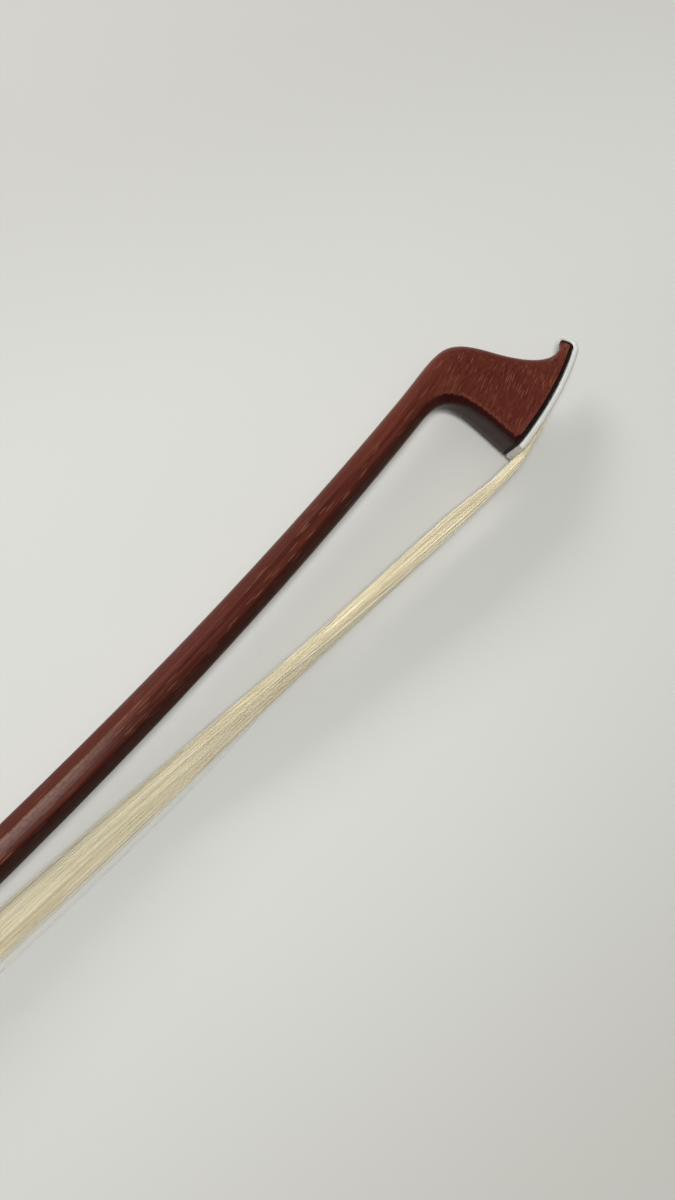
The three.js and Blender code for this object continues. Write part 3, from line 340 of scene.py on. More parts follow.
def sole_half(x):
    return mix(heel_wide, tip_wide, held(x / head_long) ** 1.6) / 2


def nose_half(x, lower):
    """Half the width of the sole, and past the tip of its narrowing top."""
    return mix(sole_half(x), nose_top_half, ease(lower - 2.1))


def chamfer_left(x, in_throat):
    """The throat's chamfer as it runs out along the sole to a barely eased edge."""
    return mix(in_throat, sole_edge, held((x - heel.x) / chamfer_run))


def sole_flat(x, lower):
    """Half the flat width of the sole between its edges."""
    return nose_half(x, lower) - chamfer_left(x, throat_chamfer / 2)


def head_section(lower, upper):
    under, top = on_curves(lower_curves, lower)[0], on_curves(upper_curves, upper)[0]
    depth, swell, flat = (top - under).length, ease(lower), flat_share * root_half
    if lower < 1:
        edge = mix(flat, sole_half(heel.x) - throat_chamfer / 2, swell)
        cheek = mix(root_half, sole_half(heel.x), swell)
        chamfer = mix(root_half - flat, throat_chamfer, swell)
    else:
        edge, cheek = sole_flat(under.x, lower), nose_half(under.x, lower)
        chamfer = chamfer_left(under.x, throat_chamfer)
    piece = min(int(upper), 3)
    high, bevel, ridge = (root_half * mix(a, b, upper - piece)
                          for a, b in zip(ridges[piece], ridges[piece + 1]))
    return section(under, top, [
        (0, edge), (chamfer, cheek), (mix(chamfer, depth - bevel, 0.5), mix(cheek, high, 0.5)),
        (depth - bevel, high), (depth, ridge)])


def paired(steps):
    """The pairs above, with steps between them."""
    pairs = [(mix(a[0], b[0], k / steps), mix(a[1], b[1], k / steps))
             for a, b in zip(section_pairs, section_pairs[1:]) for k in range(steps)]
    return pairs + [section_pairs[-1]]


def carried(bm, rings):
    """A closed skin, extruded from the first ring through the others. Gives the rings' corners."""
    corners = [[bm.verts.new(point) for point in rings[0]]]
    face = bm.faces.new(corners[0])
    for step, ring in enumerate(rings[1:]):
        made = bmesh.ops.extrude_face_region(bm, geom=[face], use_keep_orig=step == 0)["geom"]
        face = next(item for item in made if isinstance(item, bmesh.types.BMFace))
        for vert, point in zip(face.verts, ring):
            vert.co = point
        corners.append(list(face.verts))
    return corners


def neighbours(row):
    """Each item of a closed row with the one after it."""
    return list(zip(row, row[1:] + row[:1]))


def creased(bm, pairs, sharpness):
    """Keeps the edges between corners crisp when the skin is smoothed."""
    layer = bm.edges.layers.float["crease_edge"]
    for pair in pairs:
        edge = bm.edges.get(pair)
        if edge:
            edge[layer] = sharpness


def as_piece(name, bm, finish, sharp=35):
    """Makes a mesh into a piece with its finish, smooth but for edges over an angle."""
    bmesh.ops.recalc_face_normals(bm, faces=bm.faces)
    mesh = bpy.data.meshes.new(name)
    bm.to_mesh(mesh)
    bm.free()
    mesh.materials.append(finish)
    mesh.shade_smooth()
    mesh.set_sharp_from_angle(angle=math.radians(sharp))
    piece = bpy.data.objects.new(name, mesh)
    bpy.context.scene.collection.objects.link(piece)
    return piece


def settle(piece, sharp):
    """Fixes what the modifiers make as the piece's own mesh."""
    bpy.context.view_layer.update()
    done = bpy.data.meshes.new_from_object(piece.evaluated_get(bpy.context.evaluated_depsgraph_get()))
    piece.modifiers.clear()
    piece.data = done
    done.shade_smooth()
    done.set_sharp_from_angle(angle=math.radians(sharp))


def smoothed(piece, sharp=35):
    smooth = piece.modifiers.new("smooth", "SUBSURF")
    smooth.levels = smooth.render_levels = 2
    settle(piece, sharp)


def cut_away(piece, tools, sharp=35):
    """Cuts closed shapes out of a piece."""
    for bm in tools:
        mesh = bpy.data.meshes.new("tool")
        bmesh.ops.recalc_face_normals(bm, faces=bm.faces)
        bm.to_mesh(mesh)
        bm.free()
        tool = bpy.data.objects.new("tool", mesh)
        bpy.context.scene.collection.objects.link(tool)
        cutter = piece.modifiers.new("cut", "BOOLEAN")
        cutter.operation, cutter.solver, cutter.object = "DIFFERENCE", "EXACT", tool
        settle(piece, sharp)
        bpy.data.objects.remove(tool)


def chisel(low, high):
    """A block between two corners."""
    bm = bmesh.new()
    low, high = on_bow(*low), on_bow(*high)
    bmesh.ops.create_cube(bm, size=1, matrix=Matrix.Translation((low + high) / 2) @ Matrix.Diagonal(
        (*(high - low), 1)))
    return bm


def drill(from_x, to_x, radius):
    """A rod along the axis of the butt."""
    bm = bmesh.new()
    middle = on_bow((from_x + to_x) / 2, frog_axis_y)
    bmesh.ops.create_cone(
        bm, cap_ends=True, segments=32, radius1=radius / 1000, radius2=radius / 1000,
        depth=(to_x - from_x) / 1000,
        matrix=Matrix.Translation(middle) @ Matrix.Rotation(math.pi / 2, 4, "Y"))
    return bm


def raised(tree, shader, height, distance, strength):
    """Bumps the surface by a height, in metres at full height."""
    node = put(tree, "Bump", Height=height, Distance=distance, Strength=strength)
    tree.links.new(node.outputs["Normal"], shader.inputs["Normal"])


def new_group(name, inputs, outputs):
    """A group of nodes that takes a place and numbers and gives numbers."""
    group = bpy.data.node_groups.new(name, "ShaderNodeTree")
    group.interface.new_socket(name="Place", in_out="INPUT", socket_type="NodeSocketVector")
    for way, sockets in (("INPUT", inputs), ("OUTPUT", outputs)):
        for socket in sockets:
            group.interface.new_socket(name=socket, in_out=way, socket_type="NodeSocketFloat")
    return group, group.nodes.new("NodeGroupInput").outputs, group.nodes.new("NodeGroupOutput").inputs


def grouped(tree, group, place, **numbers):
    """Puts a group into a finish with its own numbers, and gives what comes out."""
    node = tree.nodes.new("ShaderNodeGroup")
    node.node_tree = group
    tree.links.new(place, node.inputs["Place"])
    for name, value in numbers.items():
        node.inputs[name.replace("_", " ")].default_value = value
    return node.outputs


# A long-grained wood, used by the stick, the liner, the plugs and the ebony
timber, given, result = new_group("timber", ("Streak Scale", "Pore Scale", "Pore Size"),
                                  ("Streaks", "Fibres", "Pores", "Clouds"))
place = given["Place"]
wobble = noise(timber, scaled(timber, place, 0.12, 0.4, 0.4), 1.0, 1)
sideways = put(timber, "CombineXYZ", Y=product(timber, wobble, 0.5)).outputs[0]
pore_place = worked_out(timber, "VectorMath", "ADD", scaled(timber, place, 0.06, 1, 0.5), sideways)[0]
cells = put(timber, "TexVoronoi", Vector=pore_place, Scale=given["Pore Scale"]).outputs
inside = worked_out(timber, "Math", "SUBTRACT", given["Pore Size"], cells["Distance"])[0]
depth = ramp(timber, put(timber, "SeparateColor", Color=cells["Color"]).outputs[0], 0.15, 0.6)
for name, value in (
        ("Streaks", noise(timber, scaled(timber, place, 0.02, 1, 1), given["Streak Scale"], 4, 0.55)),
        ("Fibres", noise(timber, scaled(timber, place, 0.05, 5.5, 5.5), 1.0, 3, 0.6)),
        ("Clouds", noise(timber, scaled(timber, place, 0.05, 0.12, 0.12), 1.0, 2)),
        ("Pores", product(timber, ramp(timber, inside, 0.0, 0.07), depth))):
    timber.links.new(value, result[name])

pernambuco, tree, shader = new_finish("pernambuco", Specular_IOR_Level=0.2, Coat_Weight=0.05,
                                      Coat_Roughness=0.2)
grain = put(tree, "Attribute", {"attribute_name": "grain"}).outputs["Vector"]
strip = put(tree, "Attribute", {"attribute_name": "strip"}).outputs["Fac"]
x = put(tree, "SeparateXYZ", Vector=grain).outputs["X"]
wood = grouped(tree, timber, grain, Streak_Scale=1.1, Pore_Scale=2.6, Pore_Size=0.31)
threads = noise(tree, scaled(tree, grain, 0.03, 2.4, 2.4), 1.0, 2, 0.6)
plain = ramp(tree, x, -32, -8, 1, 0.25)
pores = product(tree, wood["Pores"], ramp(tree, wood["Clouds"], 0.3, 0.6, 0.7, 1.0),
                ramp(tree, x, -40, -10, 0.7, 0.4))
# The strip counts round the stick, from 0 below over 2 on the cheek to 4 on top
shaded = product(tree, ramp(tree, strip, 0.75, 1.15, 0.9, 0), ramp(tree, x, -130, -90, 1, 0.7))
ragged = noise(tree, grain, 1.3, 3, 0.7)
# Rubbed edge and painted highlight: a broken light line along the upper ridge, fading out towards the head
worn_edge_and_highlight = product(tree, ramp(tree, strip, 2.82, 3.0), ramp(tree, strip, 3.02, 3.1, 1, 0),
               ramp(tree, x, -125, -95, 1, 0), ramp(tree, ragged, 0.3, 0.6), 0.4)
# Painted sheen: a grey highlight on the cheek next to the upper ridge, fading out towards the head
painted_sheen = product(tree, ramp(tree, strip, 1.2, 2.7), ramp(tree, strip, 2.85, 2.98, 1, 0),
                ramp(tree, x, -130, -102, 1, 0), ramp(tree, ragged, 0.25, 0.6, 0.5, 1), 0.55)
on_throat = ramp(tree, x, -9.0, -5.0)
ragged_strip = worked_out(tree, "Math", "MULTIPLY_ADD", ragged, 0.9, strip)[0]
# Painted shade: the under face of the throat made darker
under = product(tree, ramp(tree, strip, 0.02, 0.1, 1, 0), on_throat, 0.8)
# Partly painted shade and partly a darker stain of the raw wood: a dark ragged band on the throat's chamfer
chamfer = product(tree, ramp(tree, strip, 0.02, 0.1), ramp(tree, ragged_strip, 1.28, 1.42, 1, 0),
                  on_throat, 0.85)
chamfer_edge = product(tree, ramp(tree, ragged_strip, 1.36, 1.46),
                       ramp(tree, ragged_strip, 1.5, 1.62, 1, 0), on_throat, 0.5)
colour = tinted(tree, ramp(tree, wood["Streaks"], 0.36, 0.66), seen(64, 25, 19), seen(96, 43, 30))
for share, over in (
        (ramp(tree, wood["Clouds"], 0.35, 0.65, 0.0, 0.5), seen(84, 31, 25)),
        (ramp(tree, wood["Fibres"], 0.35, 0.7, 0.0, 0.45), seen(116, 60, 44)),
        (ramp(tree, wood["Fibres"], 0.25, 0.45, 0.5, 0.0), seen(56, 18, 14)),
        (product(tree, ramp(tree, threads, 0.5, 0.68, 0, 0.45), plain), seen(126, 66, 46)),
        (product(tree, ramp(tree, threads, 0.34, 0.48, 0.5, 0), plain), seen(52, 18, 14)),
        (pores, seen(158, 104, 76)),
        (ramp(tree, strip, 3.02, 3.2, 0, 0.75), seen(92, 35, 18)),
        (shaded, seen(36, 12, 9)),
        (ramp(tree, x, -50, -10, 0.4, 0.12), seen(50, 20, 18)),
        (worn_edge_and_highlight, seen(150, 110, 84)),
        (painted_sheen, seen(144, 120, 112)),
        (under, seen(40, 20, 18)),
        (chamfer, seen(44, 12, 12)),
        (chamfer_edge, seen(120, 64, 50))):
    colour = tinted(tree, share, colour, over)
tree.links.new(colour, shader.inputs["Base Color"])
tree.links.new(ramp(tree, wood["Fibres"], 0.3, 0.7, 0.3, 0.42), shader.inputs["Roughness"])
height = worked_out(tree, "Math", "SUBTRACT", wood["Fibres"], product(tree, wood["Pores"], 1.2))[0]
raised(tree, shader, height, 0.00005, 0.5)

stations = [butt_x, butt_x + 1, butt_x + 20, -620, -600, -580, straight_end_x]
stations += [mix(straight_end_x, root_x, k / 52) for k in range(1, 52)]
head_pairs = paired(4)
bm = bmesh.new()
bm.edges.layers.float.new("crease_edge")
strip_layer = bm.verts.layers.float.new("strip")
corners = carried(bm, [eight_sides(x) for x in stations] + [head_section(*pair) for pair in head_pairs])
across = [0, 1, 2, 3, 4, 4, 3, 2, 1, 0]
for ring in corners:
    for vert, number in zip(ring, across):
        vert[strip_layer] = number
first_head = len(stations)
stick_ridge, handle_ridge, head_ridge, nose_ridge = 0.26, 0.5, 0.1, 0.8
for i, (ring, next_ring) in enumerate(zip(corners, corners[1:])):
    lower, upper = head_pairs[i - first_head] if i >= first_head else (0, 0)
    if i < first_head:
        ridge = mix(stick_ridge, handle_ridge, ease((-stations[i] - 95) / 40))
    elif upper < 3.2:
        ridge = mix(stick_ridge, head_ridge, ease(upper))
    else:
        ridge = mix(head_ridge, nose_ridge, (upper - 3.2) / 0.8)
    below = 1.0 if lower >= 1 else mix(0.42, 0.62, ease(lower * 2))
    sharpness = (below, 0.9 if lower >= 1 else below, 0, ridge, ridge)
    for k, number in enumerate(across):
        creased(bm, [(ring[k], next_ring[k])], sharpness[number])
heel_ring = corners[first_head + next(i for i, pair in enumerate(head_pairs) if pair[0] >= 1)]
creased(bm, [(heel_ring[a], heel_ring[b]) for a, b in ((0, 9), (0, 1), (9, 8))], 1.0)
creased(bm, neighbours(corners[0]), 1.0)
creased(bm, neighbours(corners[-1]), 0.9)
stick = as_piece("stick_carved", bm, pernambuco)
smoothed(stick, 40)
cut_away(stick, [chisel(*mortise), chisel(*eyelet_slot), drill(*screw_bore), drill(*screw_end_bore)], 40)
where = stick.data.attributes.new("grain", "FLOAT_VECTOR", "POINT")
for vert, item in zip(stick.data.vertices, where.data):
    x, y, z = vert.co * 1000 - Vector(bow_shift)
    past = max(x - root_x, 0)
    bent = past ** 2 / (2 * grain_bend) if past < grain_bend else past - grain_bend / 2
    item.vector = (x, y - (axis_y(min(x, root_x)) + past * head_slope + grain_turn * bent), z)
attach(stick, "stick")
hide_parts("stick")


# Liner: a thin strip of veneer dyed black, glued to the sole of the head under the plate and
# drawn up with it round the tip, where it shows as a fine dark line.
def sole_strip(inner, outer, top_inner, top_outer, edge):
    """A strip with rounded edges along the sole and up round the tip, between two distances
    from the wood, which go over into the next two on the way up."""
    rings = []
    for lower in [1 + k / 24 for k in range(24)] + [2, 2.2, 2.4, 2.55, 2.7, 2.85, 3]:
        point, along = on_curves(lower_curves, lower)
        out = Vector((along.y, -along.x))
        on_top = ease(lower - 2)
        low = point + out * mix(inner, top_inner, on_top)
        high = point + out * mix(outer, top_outer, on_top)
        half, thick = sole_flat(point.x, lower) + sole_edge, (low - high).length
        rings.append(section(high, low, [
            (0, half - edge), (edge, half), (thick - edge, half), (thick, half - edge)]))
    bm = bmesh.new()
    bm.edges.layers.float.new("crease_edge")
    ends = carried(bm, rings)
    for ring in (ends[0], ends[-1]):
        creased(bm, neighbours(ring), 0.5)
    return bm


black_veneer, tree, shader = new_finish("black_veneer", Roughness=0.55, Specular_IOR_Level=0.2)
wood = grouped(tree, timber, on_object(tree), Streak_Scale=1.4, Pore_Scale=2.2, Pore_Size=0.12)
tree.links.new(tinted(tree, ramp(tree, wood["Fibres"], 0.3, 0.7), seen(16, 12, 12), seen(34, 26, 24)),
               shader.inputs["Base Color"])
raised(tree, shader, wood["Fibres"], 0.00002, 0.4)
liner = as_piece("head_liner_strip", sole_strip(
    inner=0.05, outer=0.85, top_inner=0.05, top_outer=0.5, edge=0.06), black_veneer)
smoothed(liner)
cut_away(liner, [chisel(*mortise)])
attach(liner, "stick")
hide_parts("head_liner")


# Plate: the white facing of the head, filed to the sole and drawn up round the tip. Its
# edges are rubbed round, and its white is faintly clouded and translucent.
white_facing, tree, shader = new_finish("white_facing", Subsurface_Weight=0.12, Subsurface_Scale=0.001,
                                        Coat_Weight=0.15, Coat_Roughness=0.25)
place = on_object(tree)
layers = noise(tree, scaled(tree, place, 0.08, 1.1, 1.1), 1.0, 4, 0.6, 0.4)
grime = ramp(tree, noise(tree, place, 0.7, 4, 0.65), 0.52, 0.78, 0, 0.35)
colour = tinted(tree, ramp(tree, layers, 0.35, 0.7), seen(208, 207, 201), seen(217, 216, 210))
tree.links.new(tinted(tree, grime, colour, seen(196, 190, 174)), shader.inputs["Base Color"])
tree.links.new(ramp(tree, layers, 0.3, 0.7, 0.32, 0.5), shader.inputs["Roughness"])
raised(tree, shader, layers, 0.00003, 0.4)
plate = as_piece("head_plate_facing", sole_strip(
    inner=0.9, outer=2.7, top_inner=0.55, top_outer=1.8, edge=0.35), white_facing)
smoothed(plate)
cut_away(plate, [chisel(*mortise)])
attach(plate, "stick")
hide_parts("head_plate")


# Plugs and wedge: small blocks of raw soft wood, pared to a tight fit, that hold the hair's
# knots in their mortises and spread the hair under the ferrule.
def worked_copy(node, name, finish, edge, steps=2):
    """The node's own solid, its facets joined and its edges eased as file and paper leave them."""
    bm = bmesh.new()
    bm.from_mesh(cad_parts[node].data)
    bmesh.ops.remove_doubles(bm, verts=bm.verts, dist=0.000002)
    bmesh.ops.dissolve_limit(bm, angle_limit=math.radians(0.5), verts=bm.verts, edges=bm.edges)
    hard = [e for e in bm.edges if e.is_manifold and e.calc_face_angle(0) > math.radians(25)]
    bmesh.ops.bevel(bm, geom=hard, offset=edge / 1000, offset_type="OFFSET", segments=steps,
                    profile=0.5, affect="EDGES", clamp_overlap=True, material=-1)
    piece = as_piece(name, bm, finish)
    even = piece.modifiers.new("even", "WEIGHTED_NORMAL")
    even.keep_sharp = True
    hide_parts(node)
    return piece


plug_wood, tree, shader = new_finish("plug_wood", Roughness=0.75)
wood = grouped(tree, timber, on_object(tree), Streak_Scale=1.2, Pore_Scale=1.5, Pore_Size=0.1)
colour = tinted(tree, ramp(tree, wood["Streaks"], 0.35, 0.65), seen(176, 138, 92), seen(206, 172, 124))
tree.links.new(tinted(tree, product(tree, wood["Fibres"], 0.5), colour, seen(150, 112, 70)),
               shader.inputs["Base Color"])
raised(tree, shader, wood["Fibres"], 0.00005, 0.6)
for node, name, body in (
        ("head_plug", "head_plug_block", "stick"), ("frog_plug", "frog_plug_block", "frog"),
        ("spread_wedge", "spread_wedge_block", "frog")):
    plug = worked_copy(node, name, plug_wood, 0.12, 1)
    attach(plug, body)


# Knots: the two ends of the hank of hair, each bound tight with turns of waxed linen thread,
# a little narrower at the middle, and sunk in its mortise.
waxed_thread, tree, shader = new_finish("waxed_thread", Roughness=0.6)
twist = put(tree, "TexWave", {"bands_direction": "DIAGONAL"}, Vector=on_object(tree), Scale=3.2,
            Distortion=0.6, Detail=1.0).outputs["Fac"]
tree.links.new(tinted(tree, ramp(tree, twist, 0.1, 0.9), seen(172, 150, 104), seen(212, 192, 146)),
               shader.inputs["Base Color"])
raised(tree, shader, twist, 0.00004, 0.7)
for node, name, body, half, radius, turns in (
        ("head_hair_knot", "head_knot_wound", "stick", 2.1, 1.05, 7),
        ("frog_hair_knot", "frog_knot_wound", "frog", 4.7, 1.2, 12)):
    low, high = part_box(node)
    middle = (low + high) / 2
    bm = bmesh.new()
    outline = [(-half, 0.0)]
    for k in range(turns * 4 + 1):
        share = k / (turns * 4)
        waist = 1 - 0.2 * math.sin(math.pi * share) ** 2
        bulge = 0.93 + 0.07 * math.cos(2 * math.pi * k / 4)
        outline.append((mix(-half, half, share), radius * waist * bulge))
    outline.append((half, 0.0))
    points = [bm.verts.new(middle + Vector((0, r / 1000, z / 1000))) for z, r in outline]
    line = [bm.edges.new(pair) for pair in zip(points, points[1:])]
    bmesh.ops.spin(bm, geom=points + line, cent=middle, axis=(0, 0, 1), angle=2 * math.pi, steps=16,
                   use_merge=True)
    bmesh.ops.remove_doubles(bm, verts=bm.verts, dist=0.000001)
    knot = as_piece(name, bm, waxed_thread, 60)
    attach(knot, body)
    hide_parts(node)


# Hair: nearly four hundred slack horse hairs from the plate to the ferrule. They leave the plate
# as a flat ribbon seen on edge, topple on their side and fan out, with strays and one loose curl
# beside the core.
hair_level, ferrule_x = -2.5, -596.0
hair_count, stray_every, hair_radius, stray_share, curl_share = 390, 40, 0.08, 0.35, 0.4
topple, topple_over, sag, full_side = -1.4, 165, 3.9, 0.6


def toppled(x):
    """How far the hank has fallen on its side, from 0 at both ends to 1."""
    return ease(-x / topple_over) * ease((x - ferrule_x) / topple_over)


def sole_at(x, outward):
    """A place under the sole at a distance along the head."""
    low, high = 0.0, 1.0
    for _ in range(18):
        middle = (low + high) / 2
        low, high = (middle, high) if drawn(lower_curves[1], middle)[0].x < x else (low, middle)
    point, along = drawn(lower_curves[1], low)
    return point + Vector((along.y, -along.x)) * outward


def hank_half(x):
    """Half the width and half the thickness of the hank."""
    if x > 0:
        return mix(4.1, 2.05, min(x / 11, 1)), mix(0.75, 0.32, min(x / 9, 1))
    if x < ferrule_x:
        return mix(5.5, 4.6, min((ferrule_x - x) / 22.5, 1)), 0.3
    thick = mix(mix(0.75, 1.5, ease(-x / 30)), 0.5, ease(-x / 150))
    return mix(4.1, 5.5, ease(x / ferrule_x)), thick * ease((x - ferrule_x) / 120 + 0.25)


def new_strand(curve, count):
    strand = curve.splines.new("POLY")
    strand.points.add(count - 1)
    return strand.points


def strands_piece(name, curve, finish):
    """Makes the tubes of a curve into one piece with its finish."""
    holder = bpy.data.objects.new(name, curve)
    bpy.context.scene.collection.objects.link(holder)
    bpy.context.view_layer.update()
    mesh = bpy.data.meshes.new_from_object(holder.evaluated_get(bpy.context.evaluated_depsgraph_get()))
    bpy.data.objects.remove(holder)
    mesh.materials.clear()
    mesh.materials.append(finish)
    mesh.shade_smooth()
    piece = bpy.data.objects.new(name, mesh)
    bpy.context.scene.collection.objects.link(piece)
    return piece


horsehair, tree, shader = new_finish("horsehair", Roughness=0.42)
tone = put(tree, "Attribute", {"attribute_name": "shade"}).outputs["Fac"]
place = on_object(tree)
patches = noise(tree, scaled(tree, place, 0.03, 1.5, 1.5), 1.0, 2)
colour = tinted(tree, tone, seen(236, 224, 190), seen(251, 244, 220))
colour = tinted(tree, ramp(tree, patches, 0.5, 0.75, 0, 0.5), colour, seen(212, 194, 150))
colour = tinted(tree, ramp(tree, tone, 1.1, 1.4), colour, seen(238, 237, 228))
shadow_share = ramp(tree, put(tree, "LightPath").outputs["Is Shadow Ray"], 0, 1, 1, 0.5)
tree.links.new(product(tree, ramp(tree, tone, 1.1, 1.4, 1, 0.3), shadow_share), shader.inputs["Alpha"])
tree.links.new(colour, shader.inputs["Base Color"])
raised(tree, shader, noise(tree, scaled(tree, place, 0.03, 1, 1), 4.0, 1), 0.00001, 0.3)

free_x = [-2 - 3 * k for k in range(7)] + [-25 - 7.5 * k for k in range(18)]
free_x += [mix(-160, ferrule_x + 3, k / 24) for k in range(25)]
hair_path = [Vector((11.9, 7.0)), Vector((11.75, 3.0))]
hair_path += [sole_at(x, 3.1 + shift) for x, shift in (
    (11.0, 0.05), (8.5, 0.1), (6.0, 0.2), (3.5, 0.3), (1.0, 0.4))]
hair_path += [Vector((x, hair_level - 0.6 * ease(-x / 10) * ease((x - ferrule_x) / 60)
                      - 1.75 * toppled(x) ** 1.3)) for x in free_x]
hair_path += [Vector((x + ferrule_x, y)) for x, y in (
    (-8.1, hair_level), (-13, -0.2), (-22.5, 0.1), (-23.2, 0.9), (-23.2, 4.0))]
chance = random.Random(7)
hair_curve = bpy.data.curves.new("hair", "CURVE")
hair_curve.dimensions, hair_curve.bevel_depth, hair_curve.bevel_resolution = "3D", hair_radius / 1000, 0
shades = []
for number in range(hair_count):
    stray = number % stray_every == 0
    side = chance.uniform(-0.5, 0.45) + chance.gauss(0, 0.05)
    reach = chance.choice((-1, 1)) * chance.uniform(0.7, 1.3) if stray else side
    spread = abs(chance.gauss(0, 0.3 if side < 0 else 0.6))
    if not stray:
        reach *= 1 + spread
    lift = chance.triangular(-1.45, 1.45)
    phase, swing = chance.uniform(0, 6.3), chance.uniform(0.02, 0.05)
    wander, drift = chance.uniform(0.006, 0.02), chance.uniform(-0.1, 0.1)
    for spot, point, before, after in zip(
            new_strand(hair_curve, len(hair_path)), hair_path, hair_path[:1] + hair_path,
            hair_path[1:] + hair_path[-1:]):
        along = (after - before).normalized()
        x, t = point.x, toppled(point.x)
        half, thick = hank_half(x)
        free = ferrule_x < x < 0
        loose = ease(-x / 20) * ease((x - ferrule_x) / 20) if free else 0
        width = half * mix(held(side / full_side, -1), mix(side, reach, ease(t * 1.5)), ease(t * 3))
        width += loose * half * (
            swing * math.sin(phase + x * wander * 2) + drift * math.sin(math.pi * x / ferrule_x))
        high = thick * (lift if free else held(lift, -1))
        high *= 1 + 0.2 * loose * math.sin(phase * 3 + x * 0.03)
        roll = topple * t
        shift = high * math.cos(roll) + width * math.sin(roll)
        up = width * math.cos(roll) - high * math.sin(roll) - sag * t
        spot.co = (*on_bow(x - along.y * shift, point.y + along.x * shift, up), 1)
        spot.radius = stray_share if stray else 1.0
    shades.append(2 if stray else chance.uniform(0, 1))
curl = ((-84, -6.5, -5), (-79.5, -5, 1), (-80.5, 4, 1), (-78, 11, 2), (-70, 9, 1))
for k, spot in enumerate(new_strand(hair_curve, len(hair_path))):
    spot.co = (*on_bow(*drawn(curl, k / (len(hair_path) - 1))[0]), 1)
    spot.radius = curl_share
shades.append(2)
hair = strands_piece("hair_hank", hair_curve, horsehair)
per_hair = len(hair.data.vertices) // len(shades)
shade = hair.data.attributes.new("shade", "FLOAT", "POINT")
for number, item in enumerate(shade.data):
    item.value = shades[number // per_hair]
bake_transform(hair, "stick", "frog", start=on_bow(-20, 0), end=on_bow(ferrule_x + 10, 0))
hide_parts("hair_ribbon")


# Frog: a block of polished ebony that slides under the stick, with a thumb step and a hollow
# throat at its front, sawn and filed from one piece. The slide's backing is of the same wood.
ebony, tree, shader = new_finish("ebony", Coat_Weight=0.2, Coat_Roughness=0.18)
wood = grouped(tree, timber, on_object(tree), Streak_Scale=0.9, Pore_Scale=2.4, Pore_Size=0.13)
colour = tinted(tree, ramp(tree, wood["Streaks"], 0.4, 0.7), seen(24, 18, 17), seen(44, 33, 29))
colour = tinted(tree, product(tree, wood["Pores"], 0.5), colour, seen(12, 9, 9))
tree.links.new(colour, shader.inputs["Base Color"])
tree.links.new(ramp(tree, wood["Fibres"], 0.3, 0.7, 0.26, 0.4), shader.inputs["Roughness"])
raised(tree, shader, wood["Fibres"], 0.00003, 0.35)
frog_block = worked_copy("frog_body", "frog_block", ebony, 0.3)
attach(frog_block, "frog")
backing = worked_copy("slide_backing", "slide_backing_strip", ebony, 0.1, 1)
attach(backing, "frog")


# Silver: the underslide, heel plate, ferrule and eye rings, cut from sheet, bent and soldered,
# polished bright with fine scratches and a yellowish tarnish in patches.
rubbed, given, result = new_group("rubbed_metal", ("Scratch Scale",), ("Scratches", "Tarnish"))
fine = noise(rubbed, scaled(rubbed, given["Place"], 0.25, 7, 7), given["Scratch Scale"], 3, 0.7)
rubbed.links.new(ramp(rubbed, fine, 0.35, 0.7), result["Scratches"])
rubbed.links.new(ramp(rubbed, noise(rubbed, given["Place"], 0.22, 4, 0.65, 0.5), 0.45, 0.75),
                 result["Tarnish"])


def metal_finish(name, bright, dull, roughness, scratch_scale=1.0):
    finish, tree, shader = new_finish(name, Metallic=1.0)
    rubs = grouped(tree, rubbed, on_object(tree), Scratch_Scale=scratch_scale)
    tree.links.new(tinted(tree, rubs["Tarnish"], bright, dull), shader.inputs["Base Color"])
    tree.links.new(ramp(tree, rubs["Scratches"], 0, 1, roughness, roughness + 0.16),
                   shader.inputs["Roughness"])
    raised(tree, shader, rubs["Scratches"], 0.00001, 0.5)
    return finish


silver = metal_finish("silver", seen(214, 212, 208), seen(186, 178, 160), 0.2)
for node, name, edge in (
        ("frog_underslide", "frog_underslide_sheet", 0.12), ("heel_plate", "heel_plate_sheet", 0.16),
        ("ferrule", "ferrule_shell", 0.2), ("heel_pin_back", "heel_pin_back_filed", 0.1),
        ("heel_pin_bottom", "heel_pin_bottom_filed", 0.1),
        ("eye_ring_upper", "eye_ring_upper_turned", 0.14),
        ("eye_ring_lower", "eye_ring_lower_turned", 0.14)):
    metal = worked_copy(node, name, silver, edge)
    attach(metal, "frog")


# Brass and steel: the filed pins of the underslide and the eyelet are of brass, and the screw
# that turns in the eyelet is of plain steel with a cut thread.
brass = metal_finish("brass", seen(196, 160, 92), seen(150, 116, 62), 0.3)
steel = metal_finish("steel", seen(150, 151, 153), seen(112, 110, 106), 0.32)
for node, finish in (("underslide_pin_front", brass), ("underslide_pin_back", brass), ("eyelet", brass),
                     ("adjuster_screw", steel)):
    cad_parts[node].data.materials.clear()
    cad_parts[node].data.materials.append(finish)


# Pearl: the slide under the frog, the eyes in its cheeks and the disc in the button, sawn from
# shell, whose layers show as drifting pale bands.
pearl, tree, shader = new_finish("mother_of_pearl", Coat_Weight=0.5, Coat_Roughness=0.08)
place = on_object(tree)
bands = put(tree, "TexWave", {"bands_direction": "DIAGONAL"}, Vector=place, Scale=0.35, Distortion=9.0,
            Detail=3.0).outputs["Fac"]
drifts = noise(tree, scaled(tree, place, 0.25, 0.5, 0.5), 0.6, 3, 0.5, 1.6)
rosy = ramp(tree, drifts, 0.42, 0.66, 0, 0.75)
bluish = ramp(tree, noise(tree, place, 0.5, 3, 0.6, 1.0), 0.5, 0.72, 0, 0.6)
colour = tinted(tree, ramp(tree, bands, 0.1, 0.9), seen(206, 214, 206), seen(236, 230, 226))
colour = tinted(tree, rosy, colour, seen(214, 196, 206))
colour = tinted(tree, bluish, colour, seen(180, 202, 204))
tree.links.new(colour, shader.inputs["Base Color"])
tree.links.new(ramp(tree, bands, 0, 1, 0.18, 0.32), shader.inputs["Roughness"])
raised(tree, shader, bands, 0.00001, 0.3)
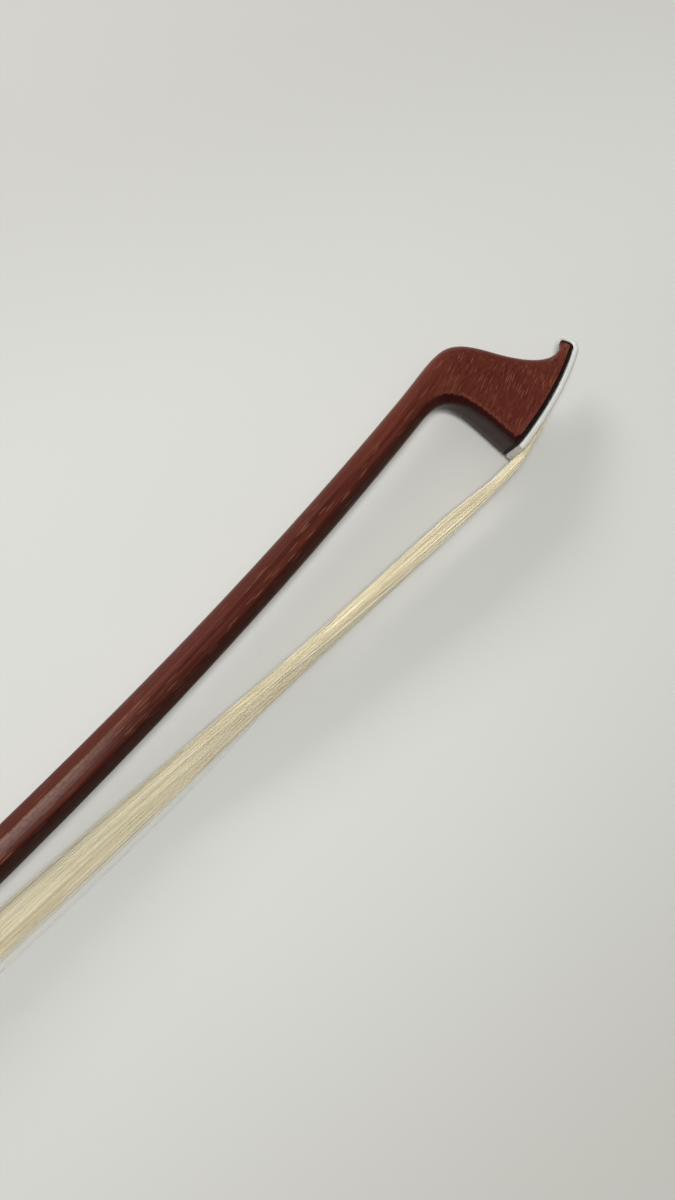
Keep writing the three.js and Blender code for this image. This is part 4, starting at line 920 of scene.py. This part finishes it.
for node, name, body in (
        ("pearl_slide", "pearl_slide_plate", "frog"),
        ("eye_pearl_upper", "eye_pearl_upper_disc", "frog"),
        ("eye_pearl_lower", "eye_pearl_lower_disc", "frog"),
        ("button_pearl", "button_pearl_disc", "adjuster")):
    shell = worked_copy(node, name, pearl, 0.16)
    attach(shell, body)


# Button: an eight-sided core of ebony between two silver rings, turned and then filed to
# flats, with a groove round each ring.
core = worked_copy("button_core", "button_core_filed", ebony, 0.12, 1)
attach(core, "adjuster")
for node, name in (("button_ring_front", "button_ring_front_filed"),
                   ("button_ring_back", "button_ring_back_filed")):
    ring = worked_copy(node, name, silver, 0.1, 1)
    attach(ring, "adjuster")


# Grip: a sleeve of thin dark leather, skived at its ends and lapped under the stick, next to
# a close winding of fine silver wire. Both are glued round the eight sides of the stick.
leather_x, winding_x = (-606.5, -578.5), (-578.2, -494.2)
leather_inside, leather_skived, leather_outside = 0.32, 0.85, 1.38
wire, wire_gap, turn_gap, turn_points, corner_reach = 0.4, 0.3, 0.01, 16, 1.035


def wrapped(x, gap, sides=24):
    """A ring round the stick at a distance from its flats, with the eight corners pulled round."""
    centre, _, across = stick_line(x)
    half = stick_half(x) + gap
    ring = []
    for k in range(sides):
        angle = 2 * math.pi * k / sides
        off = (angle + math.pi / 8) % (math.pi / 4) - math.pi / 8
        radius = min(half / math.cos(off), half * corner_reach)
        point = centre + across * radius * math.cos(angle)
        ring.append(on_bow(point.x, point.y, radius * math.sin(angle)))
    return ring


hide, tree, shader = new_finish("dark_hide", Roughness=0.6)
place = on_object(tree)
pebbles = put(tree, "TexVoronoi", {"feature": "DISTANCE_TO_EDGE"}, Vector=place, Scale=2.4)
creases = ramp(tree, pebbles.outputs["Distance"], 0.0, 0.12)
rub = ramp(tree, noise(tree, place, 0.18, 3, 0.6), 0.45, 0.7)
colour = tinted(tree, creases, seen(20, 13, 11), seen(50, 36, 29))
tree.links.new(tinted(tree, product(tree, rub, 0.6), colour, seen(74, 54, 42)),
               shader.inputs["Base Color"])
tree.links.new(ramp(tree, rub, 0, 1, 0.66, 0.45), shader.inputs["Roughness"])
raised(tree, shader, creases, 0.00006, 0.8)
rings = []
for k in range(15):
    x = mix(*leather_x, k / 14)
    skive = ease(min(x - leather_x[0], leather_x[1] - x) / 3)
    rings.append(wrapped(x, mix(leather_skived, leather_outside, skive)))
rings += [wrapped(x, leather_inside) for x in leather_x[::-1]]
bm = bmesh.new()
loops = []
for ring in rings:
    loops.append([bm.edges.new(pair) for pair in neighbours([bm.verts.new(point) for point in ring])])
for a, b in neighbours(loops):
    bmesh.ops.bridge_loops(bm, edges=a + b)
sleeve = as_piece("thumb_leather_sleeve", bm, hide, 50)
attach(sleeve, "stick")
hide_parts("thumb_leather")

winding_silver = metal_finish("winding_silver", seen(206, 204, 198), seen(150, 140, 120), 0.26, 1.6)
steps = int((winding_x[1] - winding_x[0] - wire) / (wire + turn_gap)) * turn_points
wire_curve = bpy.data.curves.new("wire", "CURVE")
wire_curve.dimensions, wire_curve.bevel_depth, wire_curve.bevel_resolution = "3D", wire / 2000, 1
wire_curve.use_fill_caps = True
for k, spot in enumerate(new_strand(wire_curve, steps + 1)):
    x = mix(winding_x[0] + wire / 2, winding_x[1] - wire / 2, k / steps)
    spot.co = (*wrapped(x, wire_gap + wire / 2, turn_points)[k % turn_points], 1)
winding = strands_piece("wire_winding_coil", wire_curve, winding_silver)
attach(winding, "stick")
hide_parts("wire_winding")
